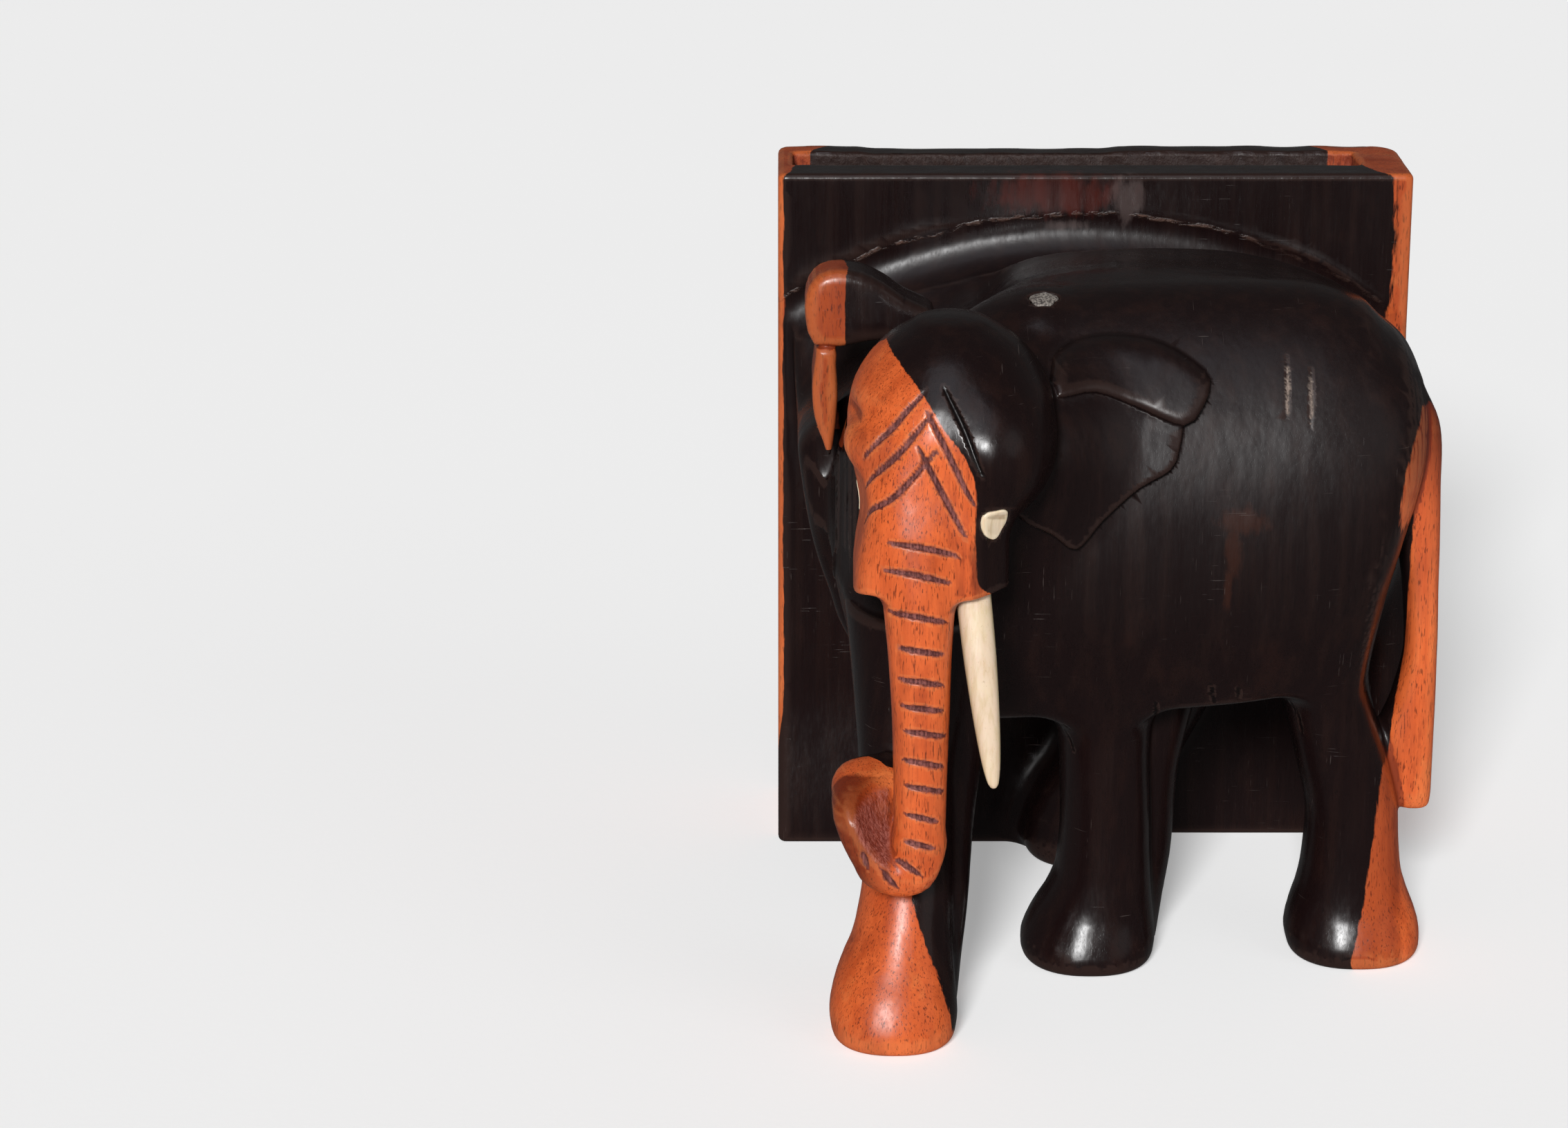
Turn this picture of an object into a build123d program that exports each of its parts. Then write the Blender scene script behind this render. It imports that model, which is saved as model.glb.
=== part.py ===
"""A bookend carved from one block of two-tone ebony: an elephant walks out of an upright slab.

Millimetres. +Z is up, the slab's book face looks along +Y, and the elephant's head is on the -X side and looks
along -Y. The origin is the middle of the bounding box's floor. The carving is one solid of wood. A tusk with a
round tenon, two eye discs and a plug of filler in a knot hole on the neck are let into sockets in it.
"""

from build123d import *

import math
import os

# The block that everything is carved from.
BLOCK_WIDTH = 127.0
BLOCK_DEPTH = 142.0
BLOCK_HEIGHT = 141.0
EDGE_ROUND = 1.6

# The slab that the books lean on, with a slot along its top.
SLAB_DEPTH = 29.0
SLAB_BACK = BLOCK_DEPTH / 2
SLAB_FRONT = SLAB_BACK - SLAB_DEPTH
SLOT_WIDTH = 13.0
SLOT_DEPTH = 11.0
SLOT_FRONT_RIM = 9.5
SLOT_TAIL_RIM = 9.5
SLOT_HEAD_RIM = 3.0

# The shallow gouged groove where the elephant's back sweeps up into the slab, a ring about a low centre.
COVE_CENTRE = (-3.0, 37.2, 22.8)
COVE_RING = 113.2
COVE_GOUGE = 5.8

# The bowl gouged out between the head, the hump and the slab.
BOWL_CENTRE = (-38.0, 14.0, 138.0)
BOWL_RADII = (19.0, 30.0, 21.0)
BOWL_TURN = -12.0

# Stations along the body, from rump to chest: x, centre y, centre z, half depth, half height.
BODY = [
    (60.2, -6.0, 102.5, 6.0, 5.0),
    (58.5, -5.0, 102.0, 15.0, 11.0),
    (55.4, -4.0, 99.5, 23.0, 19.5),
    (51.8, -3.8, 94.5, 27.5, 28.0),
    (47.0, -3.5, 88.5, 30.5, 38.5),
    (36.0, -3.0, 85.0, 33.0, 45.0),
    (20.0, -3.0, 82.5, 34.0, 48.0),
    (0.0, -3.0, 82.5, 34.5, 47.5),
    (-18.0, -4.5, 83.0, 32.5, 45.5),
    (-34.0, -8.0, 83.5, 29.0, 39.5),
    (-46.0, -11.0, 86.0, 23.0, 30.0),
    (-54.0, -13.0, 88.0, 15.0, 20.0),
    (-58.0, -14.0, 90.0, 7.0, 10.0),
]
BELLY_LOW = (-8.0, 51.2)
BELLY_RISE = 5.5

# The wood between the body and the slab, rising a little to the slab: y, centre x, centre z, half sizes.
WEB = [
    (-8.0, 2.0, 86.0, 55.0, 43.6),
    (12.0, 2.5, 86.5, 57.0, 43.4),
    (26.0, 2.0, 87.0, 58.0, 43.2),
    (50.0, -1.0, 87.0, 60.0, 45.8),
]

# Legs from the sole up: z, centre x, centre y, half width, half depth.
NEAR_HIND_LEG = [
    (0.0, 49.0, -17.5, 11.4, 11.5),
    (4.0, 49.0, -17.5, 12.8, 12.6),
    (9.0, 48.8, -17.2, 12.2, 12.2),
    (17.0, 48.2, -16.6, 9.9, 10.8),
    (27.0, 47.9, -16.0, 9.1, 10.2),
    (40.0, 45.2, -15.0, 8.9, 11.6),
    (54.0, 41.6, -13.0, 8.6, 14.0),
    (68.0, 40.0, -11.0, 10.0, 16.0),
]
NEAR_FORE_LEG = [
    (0.0, -3.0, -20.5, 12.0, 12.0),
    (4.0, -3.0, -20.5, 13.1, 12.8),
    (9.0, -2.6, -20.3, 12.4, 12.2),
    (17.0, -0.8, -19.6, 9.6, 11.0),
    (26.0, -0.2, -19.0, 8.7, 10.8),
    (40.0, -0.6, -18.0, 8.6, 12.0),
    (54.0, -1.0, -16.0, 10.0, 14.0),
    (68.0, -1.0, -13.0, 12.0, 16.0),
]
FAR_FORE_LEG = [
    (0.0, -42.0, -60.0, 10.8, 10.4),
    (4.0, -42.0, -59.2, 11.8, 11.7),
    (9.0, -41.9, -58.4, 11.5, 12.0),
    (18.0, -40.4, -53.5, 9.2, 11.0),
    (28.0, -39.4, -48.0, 8.4, 11.0),
    (44.0, -39.0, -38.0, 9.2, 14.0),
    (60.0, -37.5, -28.0, 12.0, 18.0),
    (74.0, -36.0, -22.0, 15.0, 20.0),
]
FAR_HIND_LEG = [
    (0.0, 0.8, 36.5, 14.0, 11.8),
    (4.0, 0.8, 36.3, 15.2, 12.6),
    (10.0, 2.0, 36.5, 14.4, 12.0),
    (20.0, 8.0, 37.0, 12.4, 10.8),
    (32.0, 14.0, 36.0, 12.0, 11.0),
    (46.0, 20.0, 32.0, 13.0, 13.5),
    (60.0, 24.0, 28.0, 15.0, 16.0),
]

# The far haunch, left solid between the tail and the slab: low corner, high corner and rounding.
HAUNCH_LOW = (42.0, 5.0, 30.0)
HAUNCH_HIGH = (62.6, 46.0, 112.0)
HAUNCH_ROUND = 8.0

# The skull and the long muzzle below it: z, centre x, centre y, half width, half depth.
SKULL_CENTRE = (-32.0, -38.5, 112.5)
SKULL_RADII = (19.0, 22.5, 19.5)
MUZZLE = [
    (84.0, -35.6, -50.0, 14.0, 15.6),
    (90.0, -35.4, -50.0, 13.6, 15.4),
    (100.0, -34.4, -48.5, 13.2, 15.6),
    (110.0, -33.6, -46.0, 15.6, 16.6),
    (118.0, -32.8, -43.0, 15.0, 16.0),
]
NECK_CENTRE = (-23.6, -20.6, 103.4)
NECK_RADII = (23.6, 25.2, 20.4)
HUMP_CENTRE = (-13.8, -8.0, 121.4)
HUMP_RADII = (8.6, 11.5, 8.2)

# The trunk hangs from the muzzle and ends in a hook towards -X. Rows as for the legs.
TRUNK = [
    (96.0, -37.8, -57.0, 7.2, 7.6),
    (86.0, -37.8, -59.5, 6.6, 7.2),
    (74.0, -37.6, -61.4, 5.6, 6.4),
    (60.0, -37.5, -62.6, 5.0, 5.8),
    (48.0, -37.6, -63.2, 4.8, 5.3),
    (39.6, -37.7, -63.4, 4.8, 5.0),
]
HOOK_BEND = 5.3
HOOK_TUBE = 4.8
HOOK_RISE = 3.6
HOOK_TIP = 5.2
HOOK_LEAN = 14.0
HOOK_BRIDGE_CENTRE = (-44.0, -55.0, 44.5)
HOOK_BRIDGE_RADII = (5.5, 9.0, 6.5)

# Ears, as outlines seen from the front (x, z), with the y of their back face and their thickness.
NEAR_EAR = [
    (-13.0, 124.5),
    (1.0, 127.0),
    (16.5, 119.5),
    (11.3, 111.0),
    (10.0, 102.0),
    (-8.6, 87.7),
    (-18.0, 95.0),
]
NEAR_EAR_BACK = -28.0
NEAR_EAR_THICK = 13.4
FAR_EAR = [
    (-36.0, 127.0),
    (-50.0, 130.5),
    (-58.0, 125.0),
    (-56.3, 116.5),
    (-56.5, 106.0),
    (-53.3, 95.5),
    (-38.0, 103.0),
]
FAR_EAR_BACK = 4.0
FAR_EAR_THICK = 13.0

# The tail hangs clear of the hind leg, from the rump: z, centre x, centre y, half width, half depth.
TAIL = [
    (28.0, 60.2, -13.0, 2.9, 3.6),
    (33.0, 59.0, -13.0, 4.4, 5.0),
    (41.0, 58.4, -13.0, 5.0, 5.4),
    (51.0, 60.1, -13.0, 3.3, 4.6),
    (61.0, 60.2, -12.8, 3.1, 4.4),
    (71.0, 59.8, -12.2, 3.3, 4.8),
    (81.0, 59.0, -11.5, 4.0, 6.0),
    (92.0, 57.6, -10.5, 5.1, 7.6),
    (104.0, 56.0, -9.5, 6.2, 8.6),
    (114.0, 52.6, -8.5, 5.0, 7.0),
]

# The tusk: a tapered bone peg under the muzzle, with a round tenon in a blind socket.
TUSK_ROOT = (-28.2, -58.5, 85.2)
TUSK_LENGTH = 32.6
TUSK_OUT = 3.6
TUSK_FORWARD = 9.0
TUSK = [(0.0, 6.2, 5.4), (10.0, 6.0, 5.2), (20.0, 4.8, 4.4), (29.0, 3.2, 3.0), (32.6, 1.6, 1.6)]
TUSK_ROUND = 0.45
TUSK_TWIST = 0.18
TENON_RADIUS = 1.8
TENON_LENGTH = 8.0
SEAT_SHARE = 0.75
GLUE_GAP = 0.05

# The filler in a knot hole on top of the neck: centre, and its tilt towards -Y, in degrees.
FILLER_RADIUS = 2.4
FILLER_DEPTH = 3.0
FILLER = (-13.6, -12.0, 127.5)
FILLER_TILT = 20.0

# The socket's opening in front of a disc, and the softened rim of the disc.
SOCKET_CLEAR = 4.0
DISC_RIM = 0.4

# The eye discs, flush with the wood: centre, and the way each looks, in degrees from -Y towards +X.
EYE_RADIUS = 2.7
EYE_DEPTH = 3.0
NEAR_EYE = (-24.0, -57.8, 99.2)
NEAR_EYE_TURN = 52.0
FAR_EYE = (-47.5, -46.0, 99.0)
FAR_EYE_TURN = -92.0


def slope_between(before, after):
    """A shared slope for two neighbouring spans that never overshoots either."""
    return 2 * before * after / (before + after) if before * after > 0 else 0.0


def eased(stations, spacing=5.0):
    """The same stations with evenly spaced ones between them, blended without bulges."""
    at = [row[0] for row in stations]
    columns = list(zip(*stations))[1:]
    slopes = []
    for column in columns:
        steps = [(b - a) / (q - p) for a, b, p, q in zip(column, column[1:], at, at[1:])]
        inner = [slope_between(a, b) for a, b in zip(steps, steps[1:])]
        slopes.append([steps[0], *inner, steps[-1]])
    rows = [stations[0]]
    for i in range(len(at) - 1):
        span = at[i + 1] - at[i]
        count = max(1, round(abs(span) / spacing))
        for k in range(1, count + 1):
            t = k / count
            row = [at[i] + t * span]
            for column, slope in zip(columns, slopes):
                row.append(
                    (1 + 2 * t) * (1 - t) ** 2 * column[i]
                    + t * (1 - t) ** 2 * span * slope[i]
                    + t * t * (3 - 2 * t) * column[i + 1]
                    + t * t * (t - 1) * span * slope[i + 1]
                )
            rows.append(tuple(row))
    return rows


def lofted_up(stations):
    """One solid through flat ellipses, each at its own height."""
    rings = [Pos(x, y, z) * Ellipse(wide, deep) for z, x, y, wide, deep in eased(stations)]
    return loft(Sketch() + rings)


def lofted_along_x(stations):
    """One solid through ellipses that face along X."""
    rings = [
        Plane(origin=(x, y, z), x_dir=(0, 1, 0), z_dir=(1, 0, 0)) * Ellipse(deep, high)
        for x, y, z, deep, high in eased(stations, 8.0)
    ]
    return loft(Sketch() + rings)


def lofted_along_y(stations):
    """One solid through ellipses that face along Y."""
    rings = [
        Plane(origin=(x, y, z), x_dir=(1, 0, 0), z_dir=(0, 1, 0)) * Ellipse(wide, high)
        for y, x, z, wide, high in eased(stations, 10.0)
    ]
    return loft(Sketch() + rings)


def ellipsoid(centre, radii):
    return Pos(*centre) * scale(Sphere(1), by=radii)


def slab():
    """The upright slab, with rounded edges and the slot along its top."""
    block = Box(BLOCK_WIDTH, SLAB_DEPTH, BLOCK_HEIGHT, align=(Align.CENTER, Align.MIN, Align.MIN))
    block = Pos(0, SLAB_FRONT, 0) * block
    block = fillet(block.edges().filter_by(Axis.Z) + block.edges().group_by(Axis.Z)[-1], EDGE_ROUND)
    length = BLOCK_WIDTH - SLOT_TAIL_RIM - SLOT_HEAD_RIM
    slot = Box(length, SLOT_WIDTH, SLOT_DEPTH, align=(Align.MIN, Align.MIN, Align.MAX))
    return block - Pos(-BLOCK_WIDTH / 2 + SLOT_HEAD_RIM, SLAB_FRONT + SLOT_FRONT_RIM, BLOCK_HEIGHT) * slot


def torso():
    """The barrel of the body and the wood behind it, with a flat belly."""
    barrel = lofted_along_y(WEB) + lofted_along_x(BODY)
    x, z = BELLY_LOW
    below = Pos(x, 0, z) * Rot(Y=-BELLY_RISE) * Box(250, 250, 90, align=(Align.CENTER, Align.CENTER, Align.MAX))
    return barrel - below + haunch()


def haunch():
    """The wood behind the tail, between the rump and the slab."""
    size = [high - low for low, high in zip(HAUNCH_LOW, HAUNCH_HIGH)]
    block = Pos(*HAUNCH_LOW) * Box(*size, align=(Align.MIN, Align.MIN, Align.MIN))
    return fillet(block.edges(), HAUNCH_ROUND)


def cove():
    """The gouge's ring, cut out of the slab and of the wood behind the elephant's back."""
    return Pos(*COVE_CENTRE) * Rot(X=90) * Torus(COVE_RING, COVE_GOUGE)


def bowl():
    """The hollow between the head, the hump and the slab."""
    return Pos(*BOWL_CENTRE) * Rot(Z=BOWL_TURN) * scale(Sphere(1), by=BOWL_RADII)


def trunk_hook():
    """The trunk's end: a half turn towards -X and up to a blunt tip, still joined to the leg behind."""
    start_z, start_x, start_y, _, _ = TRUNK[-1]
    pivot = Pos(start_x - HOOK_BEND, start_y, start_z) * Rot(Z=-HOOK_LEAN)
    ring = Pos(HOOK_BEND, 0, 0) * Circle(HOOK_TUBE)
    bend = revolve(Sketch() + ring, axis=Axis((0, 0, 0), (0, 1, 0)), revolution_arc=180)
    rise = Cylinder(HOOK_TUBE, HOOK_RISE, align=(Align.CENTER, Align.CENTER, Align.MIN))
    tip = Pos(-HOOK_BEND, 0, 0) * (rise + Pos(0, 0, HOOK_RISE) * Sphere(HOOK_TIP))
    return pivot * (bend + tip) + ellipsoid(HOOK_BRIDGE_CENTRE, HOOK_BRIDGE_RADII)


def ear(outline, back, thickness):
    """A flat ear from its outline, standing forward of the given y."""
    face = Plane(origin=(0, back, 0), x_dir=(1, 0, 0), z_dir=(0, -1, 0)) * make_face(
        Spline(*outline, periodic=True)
    )
    return extrude(face, thickness, dir=(0, -1, 0))


def tusk_place():
    """The tusk's own frame: its root, with +Z along the tusk to its tip."""
    lean = (TUSK_OUT, -TUSK_FORWARD, -TUSK_LENGTH)
    return Location(Plane(origin=TUSK_ROOT, z_dir=lean, x_dir=(1, 0, TUSK_TWIST)))


def eye_place(centre, turn):
    """An eye's own frame: its face's centre, with +Z looking out of the wood."""
    angle = math.radians(turn)
    return Location(Plane(origin=centre, z_dir=(math.sin(angle), -math.cos(angle), 0), x_dir=(0, 0, 1)))


def tusk():
    """The bone tusk with its tenon, centred on its own root."""
    rings = [Pos(0, 0, at) * RectangleRounded(wide, deep, TUSK_ROUND * min(wide, deep)) for at, wide, deep in TUSK]
    tenon = Cylinder(TENON_RADIUS, TENON_LENGTH, align=(Align.CENTER, Align.CENTER, Align.MAX))
    return loft(Sketch() + rings) + tenon


def tusk_socket():
    """The room that the tusk's root and tenon need."""
    depth = TENON_LENGTH + GLUE_GAP
    bore = Cylinder(TENON_RADIUS + GLUE_GAP, depth, align=(Align.CENTER, Align.CENTER, Align.MAX))
    seat = Cylinder(TUSK[0][1] * SEAT_SHARE, SOCKET_CLEAR, align=(Align.CENTER, Align.CENTER, Align.MIN))
    return bore + seat


def filler_place():
    """The filler's own frame: the middle of its top, with +Z out of the wood."""
    return Pos(*FILLER) * Rot(X=FILLER_TILT)


def disc(radius, depth):
    """An inlaid disc below its own origin, with a softened rim."""
    shape = Cylinder(radius, depth, align=(Align.CENTER, Align.CENTER, Align.MAX))
    return chamfer(shape.edges().group_by(Axis.Z)[-1], DISC_RIM)


def disc_socket(radius, depth):
    """A blind hole for an inlaid disc, open to the front."""
    wide = radius + GLUE_GAP
    hole = Cylinder(wide, depth + GLUE_GAP, align=(Align.CENTER, Align.CENTER, Align.MAX))
    clear = Cylinder(wide, SOCKET_CLEAR, align=(Align.CENTER, Align.CENTER, Align.MIN))
    return hole + clear


def carving():
    """The one solid of wood: slab, elephant, and the sockets for bone."""
    wood = slab() + torso()
    wood -= cove()
    for leg in (NEAR_HIND_LEG, NEAR_FORE_LEG, FAR_FORE_LEG, FAR_HIND_LEG):
        wood += lofted_up(leg)
    wood += ellipsoid(NECK_CENTRE, NECK_RADII)
    wood -= bowl()
    wood += ellipsoid(HUMP_CENTRE, HUMP_RADII)
    wood += ellipsoid(SKULL_CENTRE, SKULL_RADII)
    wood += lofted_up(MUZZLE)
    wood += lofted_up(TRUNK)
    wood += trunk_hook()
    wood += ear(NEAR_EAR, NEAR_EAR_BACK, NEAR_EAR_THICK)
    wood += ear(FAR_EAR, FAR_EAR_BACK, FAR_EAR_THICK)
    wood += lofted_up(TAIL)
    wood -= tusk_place() * tusk_socket()
    wood -= eye_place(NEAR_EYE, NEAR_EYE_TURN) * disc_socket(EYE_RADIUS, EYE_DEPTH)
    wood -= eye_place(FAR_EYE, FAR_EYE_TURN) * disc_socket(EYE_RADIUS, EYE_DEPTH)
    wood -= filler_place() * disc_socket(FILLER_RADIUS, FILLER_DEPTH)
    return wood


def main():
    os.makedirs("parts", exist_ok=True)
    parts = {
        "carved_block": carving(),
        "tusk": tusk_place() * tusk(),
        "near_eye": eye_place(NEAR_EYE, NEAR_EYE_TURN) * disc(EYE_RADIUS, EYE_DEPTH),
        "far_eye": eye_place(FAR_EYE, FAR_EYE_TURN) * disc(EYE_RADIUS, EYE_DEPTH),
        "knot_filler": filler_place() * disc(FILLER_RADIUS, FILLER_DEPTH),
    }
    for name, shape in parts.items():
        box = shape.bounding_box()
        print(name, len(shape.solids()), round(shape.volume), box.min, box.max)
        export_step(shape, f"parts/{name}.step")


main()
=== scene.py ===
"""The looks of a carved ebony elephant bookend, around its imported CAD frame.

The wood is sculpted as one signed distance field in millimetres, added to and cut from as a carver would,
and meshed from a fine grid. Bone, filler and wood share that field, so the inlays meet the wood.
Frame: +Z up, the elephant's flank faces -Y, its head is at -X, and the origin is the middle of the base.
"""

import math
from types import SimpleNamespace

import bpy
import numpy as np
import openvdb
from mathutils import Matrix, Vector


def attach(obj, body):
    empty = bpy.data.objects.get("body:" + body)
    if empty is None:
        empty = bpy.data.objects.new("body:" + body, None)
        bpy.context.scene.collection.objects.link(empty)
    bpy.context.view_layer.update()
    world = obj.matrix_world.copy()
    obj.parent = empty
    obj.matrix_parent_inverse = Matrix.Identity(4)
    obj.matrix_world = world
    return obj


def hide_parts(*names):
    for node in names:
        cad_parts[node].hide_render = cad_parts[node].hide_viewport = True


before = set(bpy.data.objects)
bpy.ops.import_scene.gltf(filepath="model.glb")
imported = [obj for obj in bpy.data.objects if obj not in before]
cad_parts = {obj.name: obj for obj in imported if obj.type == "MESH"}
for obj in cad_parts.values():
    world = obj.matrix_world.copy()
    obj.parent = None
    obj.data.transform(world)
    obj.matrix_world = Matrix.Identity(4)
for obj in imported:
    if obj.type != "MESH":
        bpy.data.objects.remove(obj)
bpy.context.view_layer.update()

MM = 0.001
FAR = 40.0
REACH = 12.0
COARSE = 4
BLOCK = 8
VOXEL = 0.5
TRIANGLE_LIMIT = 196000


# ---------------------------------------------------------------- distance field tools


class Shape:
    """A distance function with the box that it fits in."""

    def __init__(self, rule, low, high):
        self.rule = rule
        self.low = np.array(low, np.float32)
        self.high = np.array(high, np.float32)

    def distance(self, p):
        return self.rule(p).astype(np.float32)


class Field:
    """A carving: wood added and cut in order, each step blended over its own width."""

    def __init__(self, steps=()):
        self.steps = list(steps)

    def add(self, shape, blend=0.0):
        self.steps.append((False, shape, blend))

    def cut(self, shape, blend=0.0):
        self.steps.append((True, shape, blend))

    def copy(self):
        return Field(self.steps)

    def at(self, p):
        """Signed distances at the points p, a list of x, y and z arrays. Steps out of reach are skipped."""
        low = np.array([v.min() for v in p]) - REACH
        high = np.array([v.max() for v in p]) + REACH
        d = np.full(p[0].shape, FAR, np.float32)
        for is_cut, shape, blend in self.steps:
            if np.any(shape.low > high) or np.any(shape.high < low):
                continue
            if is_cut:
                d = -union(-d, shape.distance(p), blend)
            else:
                d = union(d, shape.distance(p), blend)
        return d


def union(a, b, blend):
    """The nearer of two distances, with a rounded joint of the given width."""
    nearer = np.minimum(a, b)
    if blend <= 0:
        return nearer
    h = np.maximum(blend - np.abs(a - b), 0) / blend
    return nearer - h * h * blend * 0.25


def overlap(a, b, blend=0.0):
    return -union(-a, -b, blend)


def norm(*parts):
    return np.sqrt(sum(v * v for v in parts))


def smooth(value, start, end):
    """0 below start, 1 above end, eased between. start may be above end."""
    t = np.clip((value - start) / (end - start), 0, 1)
    return t * t * (3 - 2 * t)


def eased(stations, spacing):
    """Evenly spaced rows through the given ones, blended without bulges."""
    rows = np.array(stations, float)
    at, columns = rows[:, 0], rows[:, 1:]
    span = np.diff(at)[:, None]
    steps = np.diff(columns, axis=0) / span
    before, after = steps[:-1], steps[1:]
    inner = np.where(after * before > 0, 2 * after * before / (after + before + 1e-9), 0)
    slopes = np.vstack([steps[:1], inner, steps[-1:]])
    out = [rows[0]]
    for i in range(len(at) - 1):
        count = max(1, int(round(abs(span[i, 0]) / spacing)))
        for t in np.arange(1, count + 1) / count:
            value = (1 + 2 * t) * (1 - t) ** 2 * columns[i] + t * (1 - t) ** 2 * span[i] * slopes[i]
            value = value + t * t * (3 - 2 * t) * columns[i + 1] + t * t * (t - 1) * span[i] * slopes[i + 1]
            out.append(np.concatenate([[at[i] + t * span[i, 0]], value]))
    return np.array(out)


def ball(centre, radii, turn=0.0):
    """An ellipsoid, turned about Z by degrees."""
    radii = np.broadcast_to(np.array(radii, float), 3)
    c, s = math.cos(math.radians(turn)), math.sin(math.radians(turn))

    def distance(p):
        x, y, z = (v - m for v, m in zip(p, centre))
        x, y = c * x + s * y, c * y - s * x
        scaled = norm(x / radii[0], y / radii[1], z / radii[2])
        slope = norm(x / radii[0] ** 2, y / radii[1] ** 2, z / radii[2] ** 2)
        return scaled * (scaled - 1) / np.maximum(slope, 1e-4)

    reach = max(radii[0], radii[1]) if turn else None
    size = np.array([reach or radii[0], reach or radii[1], radii[2]])
    return Shape(distance, np.array(centre) - size, np.array(centre) + size)


def pillar(axis, stations, power=2.0, cap=0.0):
    """A column along an axis through rounded sections.

    Each is a place along the axis, two centres, two half sizes and, if it isn't the given one, a squareness.
    """
    table = eased([row if len(row) == 6 else (*row, power) for row in stations], 1.0)
    if table[0, 0] > table[-1, 0]:
        table = table[::-1]
    at = table[:, 0]
    others = [i for i in range(3) if i != axis]

    def distance(p):
        along = np.clip(p[axis], at[0], at[-1])
        ca, cb, ra, rb, square = (np.interp(along, at, table[:, i]) for i in (1, 2, 3, 4, 5))
        u = np.abs(p[others[0]] - ca) / ra
        v = np.abs(p[others[1]] - cb) / rb
        scaled = np.maximum((u**square + v**square) ** (1 / square), 1e-3)
        slope = norm((u / scaled) ** (square - 1) / ra, (v / scaled) ** (square - 1) / rb)
        side = (scaled - 1) / np.maximum(slope, 1e-3)
        end = np.maximum(at[0] - p[axis], p[axis] - at[-1])
        return overlap(side, end, cap)

    low, high = np.zeros(3), np.zeros(3)
    low[axis], high[axis] = at[0], at[-1]
    for k, i in enumerate(others):
        low[i] = (table[:, 1 + k] - table[:, 3 + k]).min()
        high[i] = (table[:, 1 + k] + table[:, 3 + k]).max()
    return Shape(distance, low, high)


def block(low, high, radius=0.0, rough=0.0):
    """A box with rounded edges, its faces roughened by the given depth."""
    low, high = np.array(low, float), np.array(high, float)
    centre, half = (low + high) / 2, (high - low) / 2 - radius

    def distance(p):
        q = [np.abs(v - c) - h for v, c, h in zip(p, centre, half)]
        outside = norm(*(np.maximum(v, 0) for v in q))
        inside = np.minimum(np.maximum(np.maximum(q[0], q[1]), q[2]), 0)
        d = outside + inside - radius
        if rough:
            d = d + rough * (0.7 * ripple(p, 5.5) + 0.3 * ripple(p[::-1], 2.3))
        return d

    return Shape(distance, low, high)


def both(a, b, blend=0.0):
    """What two shapes share."""
    low, high = np.maximum(a.low, b.low), np.minimum(a.high, b.high)
    return Shape(lambda p: overlap(a.distance(p), b.distance(p), blend), low, high)


def half_space(point, normal, low, high):
    """All that lies below the plane, on the side away from its normal."""
    normal = np.array(normal, float) / np.linalg.norm(normal)

    def distance(p):
        return sum((v - c) * n for v, c, n in zip(p, point, normal))

    return Shape(distance, low, high)


def outline(points, closed=True, spacing=2.0):
    """A smooth curve through 2-D points, as points about the given spacing apart."""
    points = np.array(points, float)
    count = len(points)
    out = []
    for i in range(count if closed else count - 1):
        near = (i + k if closed else min(max(i + k, 0), count - 1) for k in (-1, 0, 1, 2))
        a, b, c, d = (points[k % count] for k in near)
        bend, twist = 2 * a - 5 * b + 4 * c - d, 3 * b - a - 3 * c + d
        steps = max(1, int(round(np.linalg.norm(c - b) / spacing)))
        for t in np.arange(steps) / steps:
            out.append(0.5 * (2 * b + (c - a) * t + bend * t * t + twist * t**3))
    if not closed:
        out.append(points[-1])
    return np.array(out)


def polygon_distance(a, b, corners):
    """Signed distance to a closed polygon in the plane of a and b."""
    best = np.full(a.shape, 1e9, np.float32)
    inside = np.zeros(a.shape, bool)
    for (x0, z0), (x1, z1) in zip(corners, np.roll(corners, -1, axis=0)):
        ex, ez = x1 - x0, z1 - z0
        wx, wz = a - x0, b - z0
        t = np.clip((wx * ex + wz * ez) / (ex * ex + ez * ez + 1e-9), 0, 1)
        best = np.minimum(best, (wx - ex * t) ** 2 + (wz - ez * t) ** 2)
        crosses = (z0 > b) != (z1 > b)
        inside ^= crosses & (a < ex * (b - z0) / (ez if abs(ez) > 1e-9 else 1e-9) + x0)
    return np.sqrt(best) * np.where(inside, -1, 1)


def path_distance(p, points, radii):
    """Distance to a tapered tube along a list of points."""
    best = np.full(p[0].shape, FAR, np.float32)
    for a, b, ra, rb in zip(points, points[1:], radii, radii[1:]):
        e = b - a
        w = [v - c for v, c in zip(p, a)]
        t = np.clip(sum(v * c for v, c in zip(w, e)) / max(float(e @ e), 1e-9), 0, 1)
        best = np.minimum(best, norm(*(v - c * t for v, c in zip(w, e))) - (ra + (rb - ra) * t))
    return best


_waves = np.random.default_rng(11)
WAVE_WAYS = _waves.normal(size=(9, 3))
WAVES = [(way / np.linalg.norm(way), start) for way, start in zip(WAVE_WAYS, _waves.uniform(0, 6.3, 9))]


def ripple(p, length):
    """Smooth unevenness from -1 to 1 with features of about the given length."""
    total = 0
    for i, (way, start) in enumerate(WAVES):
        turns = 2 * math.pi / (length * (0.7 + 0.13 * i))
        total = total + np.sin((p[0] * way[0] + p[1] * way[1] + p[2] * way[2]) * turns + start)
    return total / 4.5


# ---------------------------------------------------------------- the carving, in millimetres

BLOCK_HALF_WIDTH = 63.5
SLAB_FRONT = 42.0
SLAB_BACK = 71.0
TOP = 141.0
SLAB_FOOT = 5.0
RIM_WEAR = 0.5
RIM_RIPPLE = 0.12
SLOT_LOW = (-60.5, 51.5, 130.0)
SLOT_HIGH = (54.0, 64.5, 146.0)

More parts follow.
